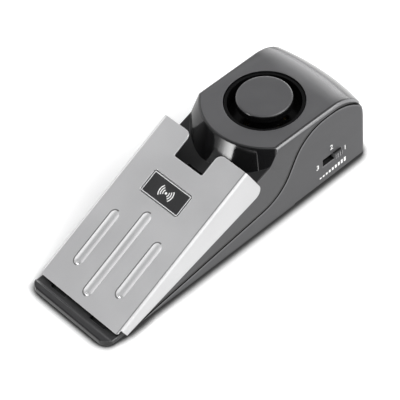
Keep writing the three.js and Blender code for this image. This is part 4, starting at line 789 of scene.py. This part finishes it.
red_vinyl = vinyl("red_vinyl", (0.45, 0.015, 0.012))
black_vinyl = vinyl("black_vinyl", (0.015, 0.015, 0.016))
lead_section = ring_section(0.00063, 14)
battery_route = (
    (6, 83.5, 9.2), (6.4, 81.8, 9.1), (8.2, 80.2, 9.6), (9.4, 78.6, 10), (9.8, 76.9, 9.4), (9.8, 76.3, 8))
piezo_route = (
    (3, 104, 27.6), (3.4, 100, 25.4), (5, 94, 23.4), (6.6, 87, 22.4), (7.6, 81.4, 20.4), (7.6, 77.6, 16.2),
    (7.2, 75.4, 11.4), (7, 75, 8))
for kind, chosen in (("battery", battery_route), ("piezo", piezo_route)):
    for colour, side, finish in (("red", 1, red_vinyl), ("black", -1, black_vinyl)):
        lead = swept(f"{kind}_{colour}_wire", smooth_route(chosen, side), lead_section, (1, 0, 0), finish,
                     "housing")
        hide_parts(f"{kind}_lead_{colour}")


# Slide switches
# A tinned steel frame behind each cheek, painted black as shade where it shows through the slot, with a
# ridged thumb piece, and a flat ribbon of bonded grey wires from each frame to the board.
def steel_frame():
    material, place = new_finish("switch_frame")
    worn, rounded = edge_wear(place, 0.0002)
    brushed = place.stretched((1.0, 0.05, 1.0)).grain(5000.0, 2.0)
    cloud = place.grain(500.0, 3.0).rise(0.3, 0.7)
    slot_face = 0.0186
    outward = place.along((1, 0, 0)).size() > slot_face
    tin = cloud.paint((0.6, 0.61, 0.62), (0.5, 0.51, 0.52))
    # Painted shade: the frame's face toward the slot is black, not tin.
    end_finish(place, {
        "Base Color": outward.paint(tin, (0.004, 0.004, 0.004)), "Metallic": 1.0 - outward,
        "Roughness": cloud.span(0.26, 0.38) + outward * 0.5 - worn * 0.04,
        "Normal": brushed.bump(0.25, 0.00001, rounded), "Specular IOR Level": 0.15})
    return material


frame_finish = steel_frame()
knob_finish = moulded("knob_acetal", (0.2, 0.2, 0.205), (0.4, 0.4, 0.41), 0.4, 0.00001, 0.00015)
for side in ("sensitivity", "power"):
    dress(f"{side}_switch", frame_finish)
    dress(f"{side}_knob", knob_finish)


def ribbon_section(wires):
    """Half circles side by side, then the same on the other face. They join at a share of their radius."""
    radius, join, steps = 0.00058, 0.85, 6
    half, bend = [], math.asin(join)
    for i in range(wires):
        offset = (i - (wires - 1) / 2) * 2 * radius * join
        start = -math.pi / 2 if i == 0 else -bend
        end = math.pi / 2 if i == wires - 1 else bend
        for step in range(steps + 1):
            angle = start + (end - start) * step / steps
            half.append((radius * math.cos(angle), offset + radius * math.sin(angle)))
    return half + [(-a, -b) for a, b in half]


grey_vinyl = vinyl("grey_vinyl", (0.26, 0.26, 0.27))
ribbon_route = (
    (17.2, 114.4, 13.2), (17.2, 109.98, 13), (17, 101.98, 11.6), (16.8, 91.99, 9.2), (16.6, 84.61, 8.6),
    (15.6, 80.59, 8.8), (14.4, 78.2, 8.6))
for kind, side, wires in (("sensitivity", 1, 3), ("power", -1, 2)):
    ribbon = swept(f"{kind}_flat_cable", smooth_route(ribbon_route, side), ribbon_section(wires),
                   (-1, 0, 0), grey_vinyl, "housing")
    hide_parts(f"{kind}_ribbon")


# Lip behind the seam
# A thin black lip follows the seam inside each cheek, so that little light passes between the halves;
# it is a dark sheet of painted shade in the gap. It runs from the wedge up the S and over to the back
# corner, close against the walls.
lip_across = 19.85
lip_run = ((-40, 3.56), (-20, 6.23), (0, 8.9), (11.89, 10.48), (14.13, 10.91), (16.31, 11.59), (18.4, 12.52),
           (20.37, 13.69), (22.19, 15.06), (23.84, 16.64), (25.31, 18.39), (26.56, 20.31), (30.25, 26.7),
           (31.7, 28.88), (33.43, 30.84), (35.4, 32.57), (37.58, 34.02), (39.92, 35.18), (42.4, 36.02),
           (44.97, 36.53), (47.57, 36.7), (50.61, 36.7), (53.3, 36.54), (55.93, 36.05), (58.5, 35.24),
           (60.9, 34.1), (63.2, 32.65), (65.1, 31.1))
thick, high = 0.0003, 0.0012
lip_section = [(-thick, -high), (thick, -high), (thick, high), (-thick, high)]
lip_finish = moulded("lip_black", (0.006, 0.006, 0.0062), (0.02, 0.02, 0.0205), 0.6, 0.00002)
for side, cheek_name in ((1, "right"), (-1, "left")):
    route = smooth_route([(lip_across, y + front_to_middle, z) for y, z in lip_run], side, 3)
    swept(f"seam_lip_{cheek_name}", route, lip_section, (1, 0, 0), lip_finish, "housing")


# Marks beside the slide switches
# White pad print on the cheeks: the numbers 3, 2 and 1 round the sensitivity slot over a row of bars
# that grow, and the usual line and circle for on and off beside the power slot on the other cheek.
def ink_finish():
    material, place = new_finish("white_ink")
    dots = place.grain(5000.0, 2.0)
    wear = place.grain(900.0, 4.0, 0.6).rise(0.6, 0.85)
    end_finish(place, {
        "Base Color": (wear * 0.4).paint((0.95, 0.95, 0.94), (0.7, 0.7, 0.7)),
        "Roughness": dots.span(0.42, 0.55), "Normal": dots.bump(0.2, 0.00001)})
    return material


ink = ink_finish()
ink_thickness = 0.00003


def on_cheek(side, y, z, lift=0.00001):
    """Turns a flat mark to lie on a cheek, upright and readable from outside."""
    reading, outward = Vector((0, side, 0)), Vector((side, 0, 0))
    turn = Matrix((reading, Vector((0, 0, 1)), outward)).transposed().to_4x4()
    return Matrix.Translation((side * (cheek + lift), y, z)) @ turn


def mark_piece(name, outlines, place):
    """Flat outlines given the thickness of a coat of ink."""
    points, faces = [], []
    for outline in outlines:
        more_points, more_faces = raised_outline(outline, 0, ink_thickness, len(points))
        points += more_points
        faces += more_faces
    mesh_piece(name, [place @ Vector(point) for point in points], faces, ink, "housing")


def numeral(name, text, place, height):
    curve = bpy.data.curves.new(name, "FONT")
    height_share, weight = 0.7, 0.00002
    curve.body, curve.size = text, height / height_share
    curve.extrude, curve.offset = ink_thickness / 2, weight
    curve.align_x, curve.align_y = "CENTER", "CENTER"
    drawn = add_object(name + "_text", curve)
    bpy.context.view_layer.update()
    mesh = bpy.data.meshes.new_from_object(drawn.evaluated_get(bpy.context.evaluated_depsgraph_get()))
    bpy.data.objects.remove(drawn)
    mesh.transform(place)
    mesh.materials.clear()
    mesh.materials.append(ink)
    piece = add_object(name, mesh)
    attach(piece, "housing")


for text, y, z in (("3", 0.0422, 0.0119), ("2", 0.0501, 0.0179), ("1", 0.0577, 0.01205)):
    numeral(f"mark_{text}", text, on_cheek(1, y, z, 0.00002), 0.0025)
bars, bar_count, bar_pitch, bar_width = [], 9, 0.00172, 0.001
for i in range(bar_count):
    run, height = 0.04315 + i * bar_pitch, 0.0007 + i * 0.0002
    bars.append([(run, 0), (run + bar_width, 0), (run + bar_width, height), (run, height)])
mark_piece("mark_bars", bars, on_cheek(1, 0, 0.0044))
ring_outlines, ring_steps, inner, outer = [], 24, 0.0007, 0.0010
for i in range(ring_steps):
    a, b = 2 * math.pi * i / ring_steps, 2 * math.pi * (i + 1) / ring_steps
    ring_outlines.append([(r * math.cos(t), r * math.sin(t))
                          for r, t in ((inner, a), (outer, a), (outer, b), (inner, b))])
mark_piece("mark_off", ring_outlines, on_cheek(-1, 0.0573, 0.0172))
thin, tall = 0.00016, 0.001
mark_piece("mark_on", [[(-thin, -tall), (thin, -tall), (thin, tall), (-thin, tall)]],
           on_cheek(-1, 0.0430, 0.0172))


# Trigger
# A black acetal plunger stands in the deck under the plate. A steel spring in it presses the push
# switch, and gives way once the switch has closed. Two rubber bumpers take the plate's last travel.
def spring_piece():
    low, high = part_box("trigger_spring")
    wire, coil, turns, steps, travel = 0.00025, 0.0023, 9, 24, 0.00516
    start, end = low.z + wire, high.z - wire
    centre = Vector((0, (low.y + high.y) / 2, 0))
    route = []
    for i in range(turns * steps + 1):
        share = i / (turns * steps)
        angle = 2 * math.pi * turns * share
        height = start + (end - start) * share
        route.append(centre + Vector((coil * math.cos(angle), coil * math.sin(angle), height)))
    piece = swept("spring_coil", route, ring_section(wire, 10), (1, 0, 0), zinc_finish, "housing")
    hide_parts("trigger_spring")
    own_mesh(piece)


spring_piece()
dress("trigger_plunger", moulded(
    "plunger_acetal", (0.012, 0.012, 0.0125), (0.05, 0.05, 0.052), 0.26, 0.000006, 0.0002))
bumper_finish = rubber("bumper_rubber", 900.0, 0.00002)
for side in ("left", "right"):
    dress(f"bumper_{side}", bumper_finish)


# Pressure plate
# One sheet of steel, cut, pressed with three long ribs and a seat for the label, folded down at both
# sides and sprayed satin silver. Its tongue and hinge tabs are folded from the same sheet.
plate_rise, plate_run, front_along, front_up = 35.4, 70.07, 5.1, 4.1
plate_slope = math.atan2(plate_rise, plate_run)
plate_front = Vector((0, front_along - front_to_middle, front_up)) / 1000
up_plate = Vector((0, math.cos(plate_slope), math.sin(plate_slope)))


def rib_foot_shade(place):
    """1 along the left foot of each rib, where a thin line of painted shade goes."""
    across = place.along((1, 0, 0))
    run = place.along(tuple(up_plate)) - plate_front.dot(up_plate)
    line, foot_reach, half_line = across * 0.0, 0.00228, 0.0003
    for rib_across, start, end in ((-0.0121, 0.0133, 0.0352), (0, 0.0063, 0.042), (0.0121, 0.0133, 0.0352)):
        left = across - rib_across
        past = ((run - (start + end) / 2).size() - (end - start) / 2).either(0.0)
        line = line.either(((left.reach(past) - foot_reach).size() < half_line) * (left < 0.0004))
    return line


def plate_finish():
    material, place = new_finish("silver_paint")
    worn, rounded = edge_wear(place, 0.0005)
    cells = place.node("TexVoronoi", {}, {"Vector": place, "Scale": 6500.0}, "Color")
    flake = cells.along((0.5, 0.3, 0.2))
    peel = place.grain(1400.0, 2.0)
    slow = place.grain(40.0, 3.0).rise(0.3, 0.7)
    rub = place.grain(420.0, 5.0, 0.7).rise(0.62, 0.8)
    base = slow.paint((0.7, 0.7, 0.705), (0.74, 0.74, 0.745))
    base = (flake * 0.22).paint(base, (0.88, 0.88, 0.89))
    base = (worn * 0.5).paint(base, (0.86, 0.86, 0.86))
    tilt = place.node("NewGeometry", {}, {}, "Normal").along((1, 0, 0))
    right_fold_shade = tilt.rise(0.02, 0.1) * (1.0 - tilt.rise(0.25, 0.4)) * 0.5
    fold_shade = right_fold_shade.either(tilt.rise(-0.4, -0.8) * 0.9) * (place.along((1, 0, 0)).size() > 0.0195)
    # Painted shade: dark lines at the ribs' left feet and along the plate's side folds.
    base = (rib_foot_shade(place) * 0.75).either(fold_shade).paint(base, (0.06, 0.06, 0.06))
    end_finish(place, {
        "Base Color": base, "Metallic": 0.85,
        "Roughness": slow.span(0.37, 0.43) + rub * 0.05 - worn * 0.1,
        "Normal": (peel + flake * 0.35).bump(0.35, 0.000012, rounded)})
    return material


dress("pressure_plate", plate_finish(), sharp=30)


# Plate label
# A dark film stuck in its pressed seat, with a bright rim that is a painted highlight. Where the maker's
# words would be it has a plain picture of sound waves.
def label_finish():
    material, place = new_finish("label_print")
    plate_length, before_rear, half_width, half_run = 0.0785052, 0.0245, 0.0103, 0.00495
    across = place.along((1, 0, 0))
    run = place.along(tuple(up_plate)) - (plate_length - before_rear + plate_front.dot(up_plate))
    width, height = across.size(), run.size()
    edge = (half_width - width).both(half_run - height)
    rim_from, rim_to = 0.00025, 0.00062
    rim_highlight = (edge < rim_to) * (edge > rim_from)
    reach = across.reach(run)
    dot_radius, half_line, spread = 0.00055, 0.00022, 1.15
    waves = reach < dot_radius
    for radius in (0.0014, 0.0024, 0.0034):
        waves = waves.either(((reach - radius).size() < half_line) * (width > height * spread))
    fine = place.grain(4200.0, 2.0)
    slow = place.grain(160.0, 3.0).rise(0.3, 0.7)
    base = slow.paint((0.02, 0.02, 0.021), (0.026, 0.026, 0.027))
    base = waves.paint(base, (0.93, 0.93, 0.92))
    # Painted highlight: a bright rim round the film's edge.
    base = rim_highlight.paint(base, (0.8, 0.8, 0.81))
    end_finish(place, {
        "Base Color": base, "Metallic": rim_highlight * 0.2, "Roughness": slow.span(0.34, 0.42) - rim_highlight * 0.1,
        "Normal": (fine + waves).bump(0.3, 0.00001)})
    return material


dress("plate_label", label_finish())


# Siren
# A brass disc with a fired ceramic face beats under a glossy black cup with sound holes, held by a
# ring. The grey cap stands on the cup's middle post and hides the holes from above.
def disc_finish(name, colour, other, rings_per_metre, rough, metal):
    material, place = new_finish(name)
    worn, rounded = edge_wear(place, 0.0001)
    centre = middle("piezo_disc")
    reach = (place.along((1, 0, 0)) - centre.x).reach(place.along((0, 1, 0)) - centre.y)
    rings = reach.maths("SINE", reach * rings_per_metre)
    cloud = place.grain(350.0, 4.0, 0.6).rise(0.35, 0.7)
    end_finish(place, {
        "Base Color": (cloud * 0.6).paint(colour, other), "Metallic": metal,
        "Roughness": cloud.span(rough, rough + 0.12) - worn * 0.03,
        "Normal": rings.bump(0.3, 0.00001, rounded)})
    return material


dress("piezo_disc", disc_finish(
    "sounder_brass", (0.62, 0.44, 0.17), (0.45, 0.3, 0.12), 30000.0, 0.26, 1.0))
dress("piezo_ceramic", disc_finish(
    "sounder_ceramic", (0.7, 0.68, 0.62), (0.6, 0.58, 0.52), 9000.0, 0.42, 0.3))
cup_finish = moulded(
    "cup_black", (0.003, 0.003, 0.0032), (0.012, 0.012, 0.0125), 0.16, 0.000003, 0.0002, 0.12)
dress("piezo_retainer", cup_finish)
dress("sound_cup", cup_finish)


def cap_finish():
    """Satin grey on top, and smoother down the side, where the colour is painted near black as shade."""
    material, place = new_finish("cap_grey")
    worn, rounded = edge_wear(place, 0.0005)
    level = place.node("NewGeometry", {}, {}, "Normal").along((0, 0, 1))
    side = 1.0 - level.rise(0.45, 0.7)
    slow = place.grain(60.0, 3.0).rise(0.3, 0.7)
    fine = place.grain(5200.0, 1.0)
    base = slow.paint((0.062, 0.062, 0.065), (0.07, 0.07, 0.073))
    # Painted shade: the side goes near black.
    base = (worn * 0.6).paint(side.paint(base, (0.004, 0.004, 0.0042)), (0.1, 0.1, 0.103))
    end_finish(place, {
        "Base Color": base, "Roughness": slow.span(0.3, 0.35) - (side * 0.2).either(worn * 0.24),
        "Normal": (fine * (1.0 - side)).bump(0.4, 0.00001, rounded)})
    return material


dress("siren_cap", cap_finish())
